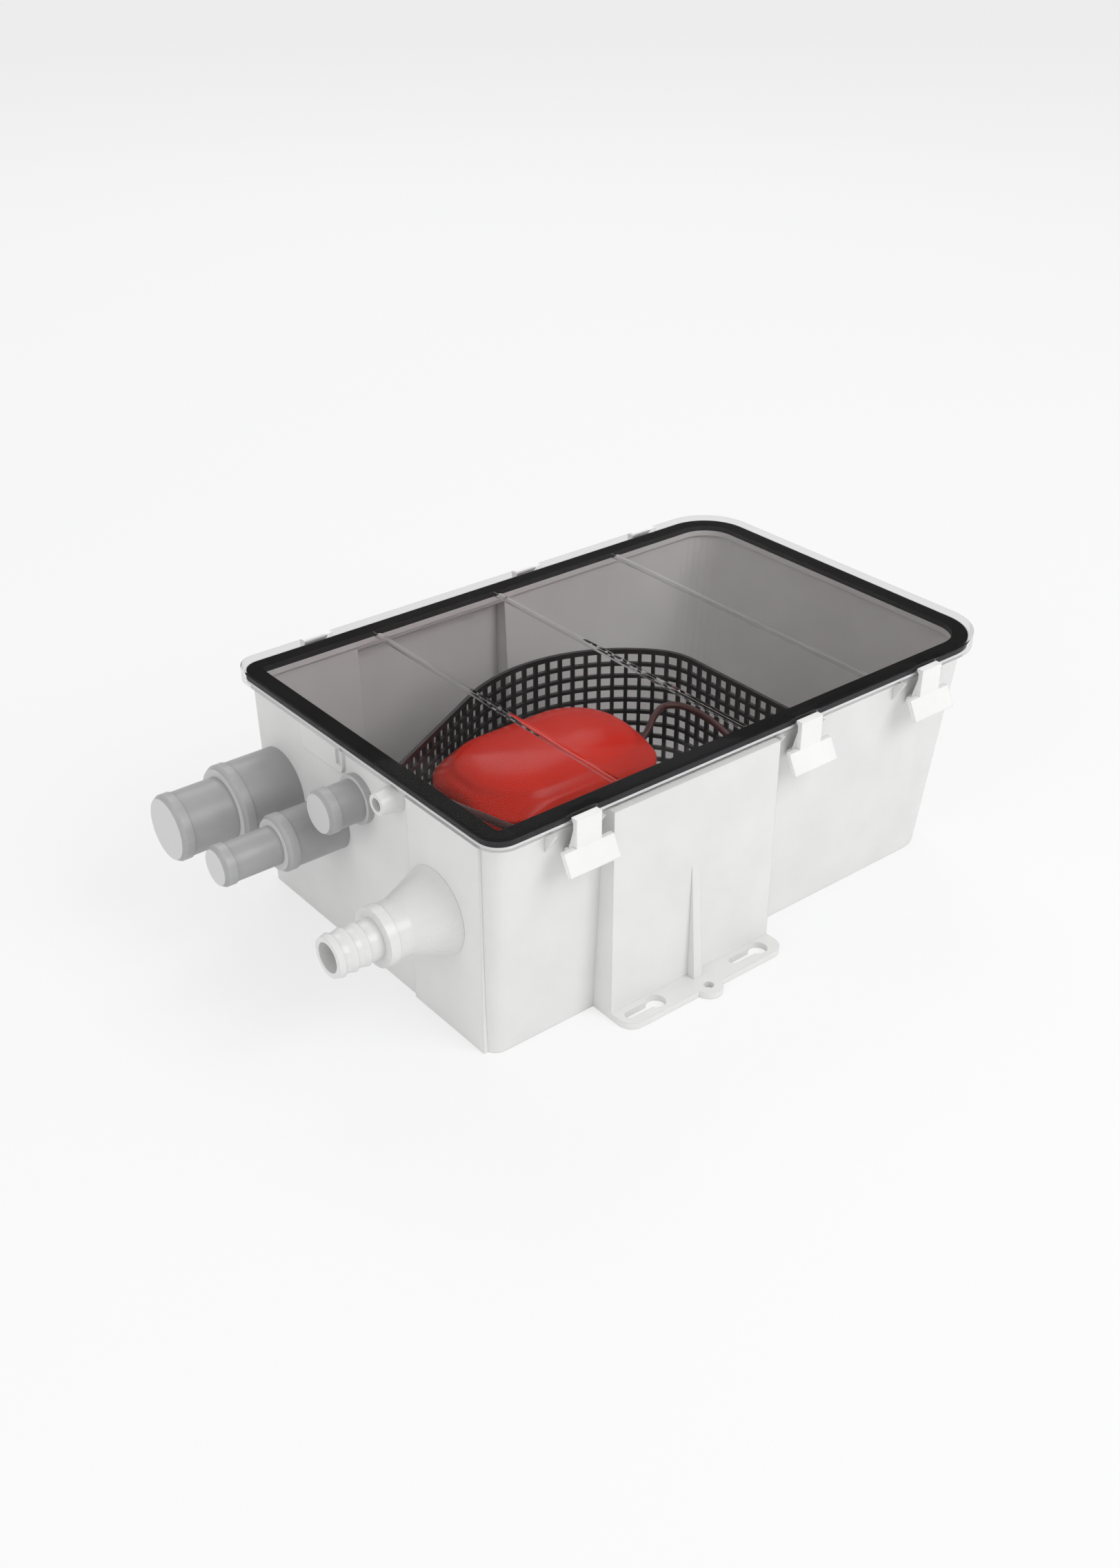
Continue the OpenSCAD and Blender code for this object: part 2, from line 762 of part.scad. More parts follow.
// Outlet: a cone on the wall, a collar and a ridged hose tail
module outlet_fitting() color("lightgray") {
    barbs = [for (i = [1 : barb_count]) let (e = outlet_reach - (barb_count - i) * barb_pitch)
        each [[outlet_r - barb_h, e - barb_pitch / 2], [outlet_r, e - barb_pitch / 2], [outlet_r - barb_h, e]]];
    turned(outlet_y, outlet_z, concat([[cone_root_r - cone_wall, band_t], [cone_root_r, band_t],
        [cone_end_r, band_t + cone_l], [cone_end_r, collar_at - collar_l / 2],
        [collar_r, collar_at - collar_l / 2], [collar_r, collar_at + collar_l / 2],
        [outlet_r - barb_h, collar_at + collar_l / 2]], barbs, [[outlet_bore_r, outlet_reach],
        [outlet_bore_r, band_t + cone_l + cone_wall], [cone_end_r - cone_wall, band_t + cone_l]]));
}

// Inner half of the outlet: flange and spigot in the wall, hose tail, and ears for the flap
module outlet_tailpiece() color("dimgray") {
    difference() {
        union() {
            turned(outlet_y, outlet_z, [[tail_bore_r, band_t], [tail_spigot_r, band_t], [tail_spigot_r, -wall],
                [tail_flange_r, -wall], [tail_flange_r, -wall - tail_flange_t], [tail_r, -wall - tail_flange_t],
                [tail_r, -wall - tail_flange_t - tail_l], [tail_bore_r, -wall - tail_flange_t - tail_l]]);
            for (s = [-1, 1])
                translate([band_face - flap_hinge_out - flap_ear_r, outlet_y - flap_ear_w / 2
                    + s * (flap_knuckle_w / 2 + flap_gap + flap_ear_w / 2), outlet_z + flap_hinge_up - flap_ear_r])
                    cube([flap_hinge_out + flap_ear_r + skin, flap_ear_w, 2 * flap_ear_r]);
        }
        rod_y(band_face - flap_hinge_out, outlet_y - flap_r, outlet_y + flap_r, outlet_z + flap_hinge_up,
            flap_pin_r + running_gap);
    }
}

module check_flap() color([0.15, 0.15, 0.15])
    difference() {
        union() {
            rod_x(band_face - flap_gap - flap_t, band_face - flap_gap, outlet_y, outlet_z, flap_r);
            translate([band_face - flap_gap - flap_t, outlet_y - flap_knuckle_w / 2, outlet_z])
                cube([flap_t, flap_knuckle_w, flap_hinge_up]);
            rod_y(band_face - flap_hinge_out, outlet_y - flap_knuckle_w / 2, outlet_y + flap_knuckle_w / 2,
                outlet_z + flap_hinge_up, flap_knuckle_r);
        }
        rod_y(band_face - flap_hinge_out, outlet_y - flap_knuckle_w, outlet_y + flap_knuckle_w,
            outlet_z + flap_hinge_up, flap_pin_r + running_gap);
    }

module flap_pin() color("silver") {
    half = flap_knuckle_w / 2 + flap_gap + flap_ear_w;
    rod_y(band_face - flap_hinge_out, outlet_y - half, outlet_y + half, outlet_z + flap_hinge_up, flap_pin_r);
}

hose_x0 = near_face + tail_flange_t + tail_l - hose_cover;
elbow_end = nozzle_x - bend_r - elbow_collar_l;
hose_x1 = elbow_end;

module discharge_elbow() color([0.2, 0.2, 0.21]) {
    low_z = nozzle_z + bend_r;
    high_z = outlet_z - bend_r;
    difference() {
        elbow_run(elbow_r, tail_r, low_z, high_z, 0);
        elbow_run(elbow_bore_r, elbow_bore_r, low_z, high_z, overrun);
    }
}

// Elbow path: out of the nozzle, up, and along to the hose
module elbow_run(r, end_r, low_z, high_z, extra) {
    translate([nozzle_x, outlet_y + bend_r, low_z]) rotate([180, 0, 0]) rotate([90, 0, 90])
        rotate_extrude(angle = 90) translate([bend_r, 0]) circle(r);
    rod_y(nozzle_x, outlet_y + bend_r, nozzle_end + extra, nozzle_z, r);
    translate([nozzle_x, outlet_y, low_z]) cylinder(h = high_z - low_z, r = r);
    translate([nozzle_x - bend_r, outlet_y, high_z]) rotate([90, 0, 0])
        rotate_extrude(angle = 90) translate([bend_r, 0]) circle(r);
    rod_x(elbow_end, nozzle_x - bend_r, outlet_y, outlet_z, r);
    rod_x(elbow_end - elbow_tail_l - extra, elbow_end, outlet_y, outlet_z, end_r);
}

module discharge_hose() color("gray") {
    difference() {
        rod_x(hose_x0, hose_x1, outlet_y, outlet_z, hose_out_r);
        rod_x(hose_x0 - overrun, hose_x1 + overrun, outlet_y, outlet_z, hose_in_r);
    }
}

module hose_clamps() color("silver") {
    in_r = hose_out_r + running_gap;
    for (x = [hose_x0 + clamp_inset, hose_x1 - clamp_inset - clamp_w]) difference() {
        union() {
            rod_x(x, x + clamp_w, outlet_y, outlet_z, in_r + clamp_t);
            translate([x, outlet_y - clamp_box_w / 2, outlet_z + in_r])
                cube([clamp_w, clamp_box_w, clamp_box_h]);
        }
        rod_x(x - overrun, x + clamp_w + overrun, outlet_y, outlet_z, in_r);
    }
}

// Plan of the pump housing, shrunk by an inset
module pump_plan(inset) {
    r = max(pump_corner_r - inset, pump_wall);
    translate([0, pump_y]) plan(cap_x0 + inset, cap_x1 - inset, pump_w / 2 - inset, r, r);
}

module pump_base() color([0.1, 0.1, 0.1]) {
    difference() {
        union() {
            translate([0, 0, floor_t]) linear_extrude(base_plate_t) pump_plan(0);
            translate([0, 0, floor_t]) linear_extrude(base_top - floor_t) difference() {
                pump_plan(0);
                pump_plan(pump_wall);
            }
            for (p = ear_places) translate([0, 0, base_top - ear_t]) linear_extrude(ear_t) difference() {
                union() {
                    translate(p) circle(ear_r);
                    ear_web(p);
                }
                pump_plan(pump_wall);
            }
        }
        for (p = ear_places) translate([p[0], p[1], 0]) {
            translate([0, 0, base_top - ear_t - overrun]) cylinder(h = ear_t + 2 * overrun, r = ear_hole_r);
                cylinder(h = floor_t + post_h, r = post_r + seat_gap);
        }
        intake_slots();
    }
}

// Web that joins an ear to the wall of the base
module ear_web(p) {
    along = abs(p[1] - pump_y) < pump_w / 4;
    reach = ear_out + pump_wall;
    if (along)
        translate([p[0], p[1] - ear_r]) square([reach, 2 * ear_r]);
    else
        translate([p[0] - ear_r, p[1] - (p[1] > pump_y ? reach : 0)]) square([2 * ear_r, reach]);
}

// Intake slots through the four walls of the base
module intake_slots() {
    slot_h = base_top - ear_t - slot_low;
    long_half = floor((pump_l / 2 - pump_corner_r) / slot_pitch);
    for (i = [-long_half : long_half])
        translate([pump_x + i * slot_pitch - slot_w / 2, pump_front - overrun, slot_low])
            cube([slot_w, pump_w + 2 * overrun, slot_h]);
}

module base_screws() color("silver") {
    for (p = ear_places) translate([p[0], p[1], base_top]) {
        cylinder(h = screw_head_h, r = screw_head_r);
        translate([0, 0, -screw_l]) cylinder(h = screw_l + skin, r = screw_r);
    }
}

module pump_body() color([0.1, 0.1, 0.1]) {
    difference() {
        union() {
            translate([0, 0, base_top]) linear_extrude(chamber_floor - base_top) pump_plan(0);
            translate([0, 0, base_top]) linear_extrude(pump_joint_z - base_top) difference() {
                pump_plan(0);
                pump_plan(pump_wall);
            }
            translate([0, 0, pump_joint_z - lip_up]) linear_extrude(2 * lip_up) difference() {
                pump_plan(pump_wall + seat_gap);
                pump_plan(pump_wall + seat_gap + lip_wall);
            }
            translate([0, 0, pump_joint_z - lip_up]) linear_extrude(lip_up) difference() {
                pump_plan(pump_wall - skin);
                pump_plan(pump_wall + seat_gap + lip_wall);
            }
            translate([axis_x, axis_y, chamber_floor - skin])
                cylinder(h = chamber_h + deck_t + skin, r = chamber_r + pump_wall);
            rod_y(nozzle_x, nozzle_end, axis_y, nozzle_z, nozzle_r);
        }
        translate([axis_x, axis_y, chamber_floor]) cylinder(h = chamber_h, r = chamber_r);
        translate([axis_x, axis_y, base_top - overrun]) cylinder(h = chamber_floor - base_top + 2 * overrun, r = eye_r);
        translate([axis_x, axis_y, deck_z - overrun]) cylinder(h = deck_t + 2 * overrun, r = seal_ring_r + push_gap);
        rod_y(nozzle_x, nozzle_end - overrun, axis_y, nozzle_z, nozzle_bore_r);
    }
}

// Closed block with a domed top, shrunk by an inset
module domed(inset, z0) {
    hull() {
        translate([0, 0, z0]) linear_extrude(skin) pump_plan(inset, $fn = hull_fn);
        for (i = [0 : dome_steps]) let (a = 90 * i / dome_steps)
            translate([0, 0, cap_rim_z + (dome_h - inset) * sin(a)]) linear_extrude(skin)
                pump_plan(inset + dome_in * (1 - cos(a)), $fn = hull_fn);
    }
}

module pump_cap() color([0.75, 0.12, 0.08]) {
    difference() {
        domed(0, pump_joint_z);
        domed(pump_wall, pump_joint_z - overrun);
        translate([0, 0, groove_z]) linear_extrude(groove_h) difference() {
            pump_plan(-overrun);
            pump_plan(groove_d);
        }
        rod_x(cap_x1 - pump_wall - overrun, cap_x1 + overrun, grommet_y, grommet_z, grommet_r + push_gap);
    }
}

module cap_grommet() color([0.07, 0.07, 0.07]) {
    difference() {
        union() {
            rod_x(cap_x1 - pump_wall - skin, cap_x1 + skin, grommet_y, grommet_z, grommet_r);
            rod_x(cap_x1, cap_x1 + grommet_flange_t, grommet_y, grommet_z, grommet_flange_r);
        }
        rod_x(cap_x1 - pump_wall - overrun, cap_x1, grommet_y, grommet_z, lead_r);
    }
}

// Smooth curve through four points, and the rings of the lead along it
function blend(a, b, c, d, t) = 0.5 * ((2 * b) + (c - a) * t + (2 * a - 5 * b + 4 * c - d) * t * t
    + (3 * b - a - 3 * c + d) * t * t * t);
function unit(v) = v / norm(v);
function at(route, i) = route[max(0, min(len(route) - 1, i))];
function smooth(route, steps) = [for (i = [0 : len(route) - 2], k = [0 : steps - 1])
    blend(at(route, i - 1), route[i], route[i + 1], at(route, i + 2), k / steps), route[len(route) - 1]];
function ring(p, way, r, sides) = let (side = unit(cross(way, [0, 0, 1])), up = cross(side, way))
    [for (k = [0 : sides - 1]) p + r * (cos(360 * k / sides) * side + sin(360 * k / sides) * up)];

module tube(route, steps, r, sides) {
    path = smooth(route, steps);
    last = len(path) - 1;
    rings = [for (i = [0 : last]) each ring(path[i],
        i == 0 || i == last ? [i == 0 ? 1 : -1, 0, 0] : unit(path[i + 1] - path[i - 1]), r, sides)];
    walls = [for (i = [0 : last - 1], k = [0 : sides - 1]) let (a = i * sides + k, b = i * sides + (k + 1) % sides)
        each [[a, a + sides, b], [b, a + sides, b + sides]]];
    caps = [for (k = [1 : sides - 2]) each [[0, k, k + 1], [last * sides, last * sides + k + 1, last * sides + k]]];
    polyhedron(rings, concat(walls, caps));
}

module pump_lead() color([0.3, 0.1, 0.08]) tube(lead_route, lead_steps, lead_r, lead_sides);

module impeller() color("black") {
    translate([axis_x, axis_y, impeller_low]) difference() {
        union() {
            cylinder(h = impeller_h, r = impeller_hub_r);
            translate([0, 0, impeller_h - impeller_disc_t]) cylinder(h = impeller_disc_t, r = impeller_r);
            for (i = [0 : vane_count - 1]) rotate(360 * i / vane_count)
                translate([vane_start, -vane_t / 2, 0])
                    cube([impeller_r - vane_start - vane_t, vane_t, impeller_h - impeller_disc_t + skin]);
        }
        translate([0, 0, -overrun]) cylinder(h = impeller_h + 2 * overrun, r = shaft_r + push_gap);
    }
}

module motor_shaft() color("silver")
    translate([axis_x, axis_y, shaft_low]) cylinder(h = shaft_top - shaft_low, r = shaft_r);

module shaft_seal() color([0.1, 0.1, 0.1])
    translate([axis_x, axis_y, deck_z]) difference() {
        cylinder(h = deck_t, r = seal_ring_r);
        translate([0, 0, -overrun]) cylinder(h = deck_t + 2 * overrun, r = shaft_r + running_gap);
    }

module motor_can() color("silver")
    translate([axis_x, axis_y, motor_z]) difference() {
        union() {
            cylinder(h = can_h, r = motor_r);
            translate([0, 0, can_h - skin]) cylinder(h = can_boss_h + skin, r = can_boss_r);
        }
        translate([0, 0, can_t]) cylinder(h = can_h - 2 * can_t, r = motor_r - can_t);
        translate([0, 0, -overrun]) cylinder(h = can_t + 2 * overrun, r = shaft_r + shaft_hole_gap);
        translate([0, 0, can_h - can_t - overrun]) cylinder(h = can_boss_h + overrun, r = bush_r + push_gap);
    }

module motor_magnets() color([0.25, 0.25, 0.28]) {
    out_r = motor_r - can_t - magnet_gap;
    for (s = [0, 1]) translate([axis_x, axis_y, magnet_z]) rotate(180 * s - magnet_angle / 2)
        rotate_extrude(angle = magnet_angle) translate([out_r - magnet_t, 0]) square([magnet_t, magnet_h]);
}

module armature() color("peru") {
    core_r = motor_r - can_t - magnet_gap - magnet_t - air_gap;
    translate([axis_x, axis_y, core_z]) difference() {
        union() {
            cylinder(h = core_h, r = core_r);
            translate([0, 0, core_h - skin]) cylinder(h = commutator_h + skin, r = commutator_r);
        }
        translate([0, 0, -overrun]) cylinder(h = core_h + commutator_h + 2 * overrun, r = shaft_r + push_gap);
        for (i = [0 : core_slots - 1]) rotate(360 * i / core_slots)
            translate([core_r - core_slot_d, -core_slot_w / 2, -overrun])
                cube([core_slot_d + overrun, core_slot_w, core_h + overrun]);
    }
}

module motor_brushes() color([0.2, 0.2, 0.2]) {
    brush_in = commutator_r + brush_gap;
    brush_out = motor_r - can_t - seat_gap;
    for (s = [-1, 1])
        translate([axis_x + (s > 0 ? brush_in : -brush_out), axis_y - brush_w / 2, core_z + core_h + overrun])
            cube([brush_out - brush_in, brush_w, brush_h]);
}

module shaft_bushes() color("goldenrod")
    for (z = [motor_z + can_t, motor_z + can_h - can_t]) translate([axis_x, axis_y, z]) difference() {
        cylinder(h = can_boss_h, r = bush_r);
        translate([0, 0, -overrun]) cylinder(h = can_boss_h + 2 * overrun, r = shaft_r + running_gap);
    }

module float_bracket() color([0.1, 0.1, 0.1]) {
    difference() {
        union() {
            translate([bracket_x0, bracket_y0, floor_t])
                cube([bracket_x1 - bracket_x0, bracket_y1 - bracket_y0, bracket_t]);
            translate([bracket_x0, bracket_y0, floor_t])
                cube([bracket_t, bracket_y1 - bracket_y0, bracket_top - floor_t]);
            for (y = [bracket_y0, bracket_y1 - bracket_t]) {
                translate([bracket_x0, y, floor_t])
                    cube([bracket_cheek_x - bracket_x0, bracket_t, float_hinge_z - floor_t]);
                rod_y(float_hinge_x, y, y + bracket_t, float_hinge_z, cheek_top_r);
            }
        }
        rod_y(float_hinge_x, bracket_y0 - overrun, bracket_y1 + overrun, float_hinge_z, float_pin_r + running_gap);
    }
}

module float_arm() color([0.16, 0.16, 0.17]) {
    y0 = bracket_y0 + bracket_t + float_side_gap;
    y1 = bracket_y1 - bracket_t - float_side_gap;
    mid = (y0 + y1) / 2;
    difference() {
        union() {
            rod_y(float_hinge_x, y0, y1, float_hinge_z, float_eye_r);
            translate([0, y1, 0]) rotate([90, 0, 0]) linear_extrude(y1 - y0) float_outline();
            translate([0, mid + float_arm_w / 2, 0]) rotate([90, 0, 0]) linear_extrude(float_arm_w)
                polygon([[float_hinge_x, float_hinge_z + float_eye_r], [float_x0 + float_corner_r, float_top],
                    [float_x0 + float_corner_r, float_low + float_corner_r], [float_hinge_x, float_hinge_z - float_eye_r]]);
        }
        rod_y(float_hinge_x, y0 - overrun, y1 + overrun, float_hinge_z, float_pin_r + running_gap);
    }
}

// Side outline of the float with round corners
module float_outline() {
    r = float_corner_r;
    polygon([[float_x0 + r, float_low], [float_x1 - r, float_low], [float_x1, float_low + r], [float_x1, float_top - r],
        [float_x1 - r, float_top], [float_x0 + r, float_top], [float_x0, float_top - r], [float_x0, float_low + r]]);
    for (x = [float_x0 + r, float_x1 - r], z = [float_low + r, float_top - r]) translate([x, z]) circle(r);
}

module float_pin() color("silver")
    rod_y(float_hinge_x, bracket_y0 - float_pin_over, bracket_y1 + float_pin_over, float_hinge_z, float_pin_r);

sump_box();
clear_lid();
lid_seal();
latch_front(0);  // latch_front_left
latch_front(1);  // latch_front_middle
latch_front(2);  // latch_front_right
latch_rear(0);  // latch_rear_left
latch_rear(1);  // latch_rear_middle
latch_rear(2);  // latch_rear_right
latch_pins();
strainer_screen();
inlet_large();
inlet_medium();
inlet_small();
cable_nipple();
outlet_fitting();
outlet_tailpiece();
check_flap();
flap_pin();
discharge_elbow();
discharge_hose();
hose_clamps();
pump_base();
base_screws();
pump_body();
pump_cap();
cap_grommet();
pump_lead();
impeller();
motor_shaft();
shaft_seal();
motor_can();
motor_magnets();
armature();
motor_brushes();
shaft_bushes();
float_bracket();
float_arm();
float_pin();
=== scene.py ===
import bpy
import bmesh
import math
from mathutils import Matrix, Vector


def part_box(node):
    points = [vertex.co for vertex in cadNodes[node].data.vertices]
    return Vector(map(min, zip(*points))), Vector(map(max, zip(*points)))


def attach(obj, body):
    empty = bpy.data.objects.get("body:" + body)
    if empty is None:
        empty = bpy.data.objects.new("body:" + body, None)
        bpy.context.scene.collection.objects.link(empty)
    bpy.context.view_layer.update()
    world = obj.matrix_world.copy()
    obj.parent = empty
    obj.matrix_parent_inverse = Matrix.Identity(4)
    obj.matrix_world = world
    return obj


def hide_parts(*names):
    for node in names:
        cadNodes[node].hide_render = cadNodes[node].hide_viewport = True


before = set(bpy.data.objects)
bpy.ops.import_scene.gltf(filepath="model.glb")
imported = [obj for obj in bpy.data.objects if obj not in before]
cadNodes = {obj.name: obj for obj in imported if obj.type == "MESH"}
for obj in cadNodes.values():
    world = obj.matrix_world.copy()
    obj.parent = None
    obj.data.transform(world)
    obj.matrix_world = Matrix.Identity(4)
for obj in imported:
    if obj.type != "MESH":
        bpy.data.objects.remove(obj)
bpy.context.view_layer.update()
print("frame loaded with", len(cadNodes), "nodes")


# Helpers for node trees

def newGroup(name, inputs, outputs):
    group = bpy.data.node_groups.new(name, "ShaderNodeTree")
    for label, value in inputs.items():
        socket = group.interface.new_socket(label, in_out="INPUT", socket_type="NodeSocketFloat")
        socket.default_value = value
    for label in outputs:
        group.interface.new_socket(label, in_out="OUTPUT", socket_type="NodeSocketFloat")
    return group, group.nodes.new("NodeGroupInput"), group.nodes.new("NodeGroupOutput")


def addNode(tree, kind, **values):
    node = tree.nodes.new(kind)
    for label, value in values.items():
        setattr(node, label, value)
    return node


def addMath(tree, operation, first, second=None):
    node = addNode(tree, "ShaderNodeMath", operation=operation)
    for place, value in enumerate((first, second)):
        if value is None:
            continue
        if isinstance(value, (int, float)):
            node.inputs[place].default_value = value
        else:
            tree.links.new(value, node.inputs[place])
    return node.outputs[0]


def addMix(tree, mask, first, second):
    node = addNode(tree, "ShaderNodeMix", data_type="RGBA")
    tree.links.new(mask, node.inputs["Factor"])
    for label, value in (("A", first), ("B", second)):
        socket = [s for s in node.inputs if s.name == label and s.type == "RGBA"][0]
        if isinstance(value, tuple):
            socket.default_value = value + (1.0,)
        else:
            tree.links.new(value, socket)
    return [s for s in node.outputs if s.type == "RGBA"][0]


def addRange(tree, value, low, high, outLow=0.0, outHigh=1.0):
    node = addNode(tree, "ShaderNodeMapRange")
    tree.links.new(value, node.inputs["Value"])
    for label, number in (("From Min", low), ("From Max", high),
                          ("To Min", outLow), ("To Max", outHigh)):
        node.inputs[label].default_value = number
    return node.outputs["Result"]


# Shared effects: each group puts out heights and masks only

noise = {"grainDetail": 3.0, "mottleDetail": 4.0, "mottleShare": 0.03, "streakDetail": 5.0,
         "streakSpan": (0.35, 0.7), "dustDetail": 6.0, "dustSpan": (0.35, 0.75),
         "dustFacing": (0.2, 1.0), "mottleSpan": (0.35, 0.65), "roughSpan": (0.3, 0.7),
         "lineDetail": 4.0, "bevelSamples": 4}


def makeFineGrain():
    group, entry, leave = newGroup("fineGrain", {"Scale": 900.0}, ["Height", "Mottle"])
    place = addNode(group, "ShaderNodeTexCoord")
    grain = addNode(group, "ShaderNodeTexNoise")
    mottle = addNode(group, "ShaderNodeTexNoise")
    grain.inputs["Detail"].default_value = noise["grainDetail"]
    mottle.inputs["Detail"].default_value = noise["mottleDetail"]
    group.links.new(place.outputs["Object"], grain.inputs["Vector"])
    group.links.new(place.outputs["Object"], mottle.inputs["Vector"])
    group.links.new(entry.outputs["Scale"], grain.inputs["Scale"])
    coarse = addMath(group, "MULTIPLY", entry.outputs["Scale"], noise["mottleShare"])
    group.links.new(coarse, mottle.inputs["Scale"])
    group.links.new(grain.outputs["Fac"], leave.inputs["Height"])
    group.links.new(mottle.outputs["Fac"], leave.inputs["Mottle"])
    return group


def makeDrawMarks():
    group, entry, leave = newGroup("drawMarks", {"Scale": 60.0, "Stretch": 0.06}, ["Mask"])
    place = addNode(group, "ShaderNodeTexCoord")
    squeeze = addNode(group, "ShaderNodeCombineXYZ")
    squeeze.inputs["X"].default_value = 1.0
    squeeze.inputs["Y"].default_value = 1.0
    group.links.new(entry.outputs["Stretch"], squeeze.inputs["Z"])
    scaled = addNode(group, "ShaderNodeVectorMath", operation="MULTIPLY")
    group.links.new(place.outputs["Object"], scaled.inputs[0])
    group.links.new(squeeze.outputs[0], scaled.inputs[1])
    streaks = addNode(group, "ShaderNodeTexNoise")
    streaks.inputs["Detail"].default_value = noise["streakDetail"]
    group.links.new(scaled.outputs[0], streaks.inputs["Vector"])
    group.links.new(entry.outputs["Scale"], streaks.inputs["Scale"])
    strong = addRange(group, streaks.outputs["Fac"], *noise["streakSpan"])
    group.links.new(strong, leave.inputs["Mask"])
    return group


def makeSettledDust():
    group, entry, leave = newGroup("settledDust", {"Amount": 0.3, "Scale": 40.0}, ["Mask"])
    place = addNode(group, "ShaderNodeTexCoord")
    facing = addNode(group, "ShaderNodeNewGeometry")
    split = addNode(group, "ShaderNodeSeparateXYZ")
    cloud = addNode(group, "ShaderNodeTexNoise")
    cloud.inputs["Detail"].default_value = noise["dustDetail"]
    group.links.new(place.outputs["Object"], cloud.inputs["Vector"])
    group.links.new(entry.outputs["Scale"], cloud.inputs["Scale"])
    group.links.new(facing.outputs["Normal"], split.inputs[0])
    upward = addRange(group, split.outputs["Z"], *noise["dustFacing"])
    patchy = addRange(group, cloud.outputs["Fac"], *noise["dustSpan"])
    both = addMath(group, "MULTIPLY", upward, patchy)
    group.links.new(addMath(group, "MULTIPLY", both, entry.outputs["Amount"]), leave.inputs["Mask"])
    return group


def makeEdgeRub():
    group, entry, leave = newGroup("edgeRub", {"Low": 0.52, "High": 0.6}, ["Mask"])
    shape = addNode(group, "ShaderNodeNewGeometry")
    spread = addNode(group, "ShaderNodeMapRange")
    group.links.new(shape.outputs["Pointiness"], spread.inputs["Value"])
    group.links.new(entry.outputs["Low"], spread.inputs["From Min"])
    group.links.new(entry.outputs["High"], spread.inputs["From Max"])
    group.links.new(spread.outputs["Result"], leave.inputs["Mask"])
    return group


fineGrain = makeFineGrain()
drawMarks = makeDrawMarks()
settledDust = makeSettledDust()
edgeRub = makeEdgeRub()


def addGroup(tree, group, **values):
    node = addNode(tree, "ShaderNodeGroup", node_tree=group)
    for label, value in values.items():
        node.inputs[label].default_value = value
    return node


def facingMask(tree, axis, low, high, outLow=0.0, outHigh=1.0):
    facing = addNode(tree, "ShaderNodeNewGeometry")
    split = addNode(tree, "ShaderNodeSeparateXYZ")
    tree.links.new(facing.outputs["True Normal"], split.inputs[0])
    share = addMath(tree, "ABSOLUTE", split.outputs[axis])
    return addRange(tree, share, low, high, outLow, outHigh)


def startMaterial(name):
    material = bpy.data.materials.new(name)
    material.use_nodes = True
    return material, material.node_tree, material.node_tree.nodes["Principled BSDF"]


def addBump(tree, shader, height, depth, strength, edge):
    bump = addNode(tree, "ShaderNodeBump")
    # the bevel node rounds the shading of the CAD edges
    soft = addNode(tree, "ShaderNodeBevel", samples=noise["bevelSamples"])
    soft.inputs["Radius"].default_value = edge
    tree.links.new(soft.outputs["Normal"], bump.inputs["Normal"])
    bump.inputs["Strength"].default_value = strength
    bump.inputs["Distance"].default_value = depth
    tree.links.new(height, bump.inputs["Height"])
    tree.links.new(bump.outputs["Normal"], shader.inputs["Normal"])


def addRoughness(tree, shader, value, middle, spread):
    rough = addRange(tree, value, *noise["roughSpan"], middle - spread, middle + spread)
    tree.links.new(rough, shader.inputs["Roughness"])


# Moulded plastic and rubber: mottled colour, fine grain, draw marks, dust, rubbed edges and, where
# given, painted light on end faces

mouldDefaults = {"markScale": 60.0, "marks": 0.0, "dust": 0.1, "rub": 0.2, "grainStrength": 0.4,
                 "edgeRound": 0.0005, "coat": 0.0, "coatRough": 0.1, "ior": 1.46,
                 "dustColor": (0.55, 0.53, 0.5), "paintedLightFrom": 0.75, "paintedLightTo": 0.95}


def mouldedMaterial(name, look):
    look = {**mouldDefaults, **look}
    material, tree, shader = startMaterial(name)
    grain = addGroup(tree, fineGrain, Scale=look["grainScale"])
    marks = addGroup(tree, drawMarks, Scale=look["markScale"])
    dust = addGroup(tree, settledDust, Amount=look["dust"])
    rub = addGroup(tree, edgeRub)
    turn = addRange(tree, grain.outputs["Mottle"], *noise["mottleSpan"])
    mottled = addMix(tree, turn, look["color"], look["mottle"])
    streaks = addMath(tree, "MULTIPLY", marks.outputs["Mask"], look["marks"])
    marked = addMix(tree, streaks, mottled, look["mottle"])
    worn = addMath(tree, "MULTIPLY", rub.outputs["Mask"], look["rub"])
    rubbed = addMix(tree, worn, marked, look["edge"])
    if "paintedLightEndColor" in look:  # painted light: end faces along X get a paler colour than the sides, as if lit
        paintedLightEnds = facingMask(tree, "X", look["paintedLightFrom"], look["paintedLightTo"])
        rubbed = addMix(tree, paintedLightEnds, rubbed, look["paintedLightEndColor"])
    dusty = addMix(tree, dust.outputs["Mask"], rubbed, look["dustColor"])
    tree.links.new(dusty, shader.inputs["Base Color"])
    addRoughness(tree, shader, grain.outputs["Mottle"], look["rough"], look["roughSpread"])
    addBump(tree, shader, grain.outputs["Height"], look["grainDepth"], look["grainStrength"],
            look["edgeRound"])
    shader.inputs["Coat Weight"].default_value = look["coat"]
    shader.inputs["Coat Roughness"].default_value = look["coatRough"]
    shader.inputs["IOR"].default_value = look["ior"]
    return material


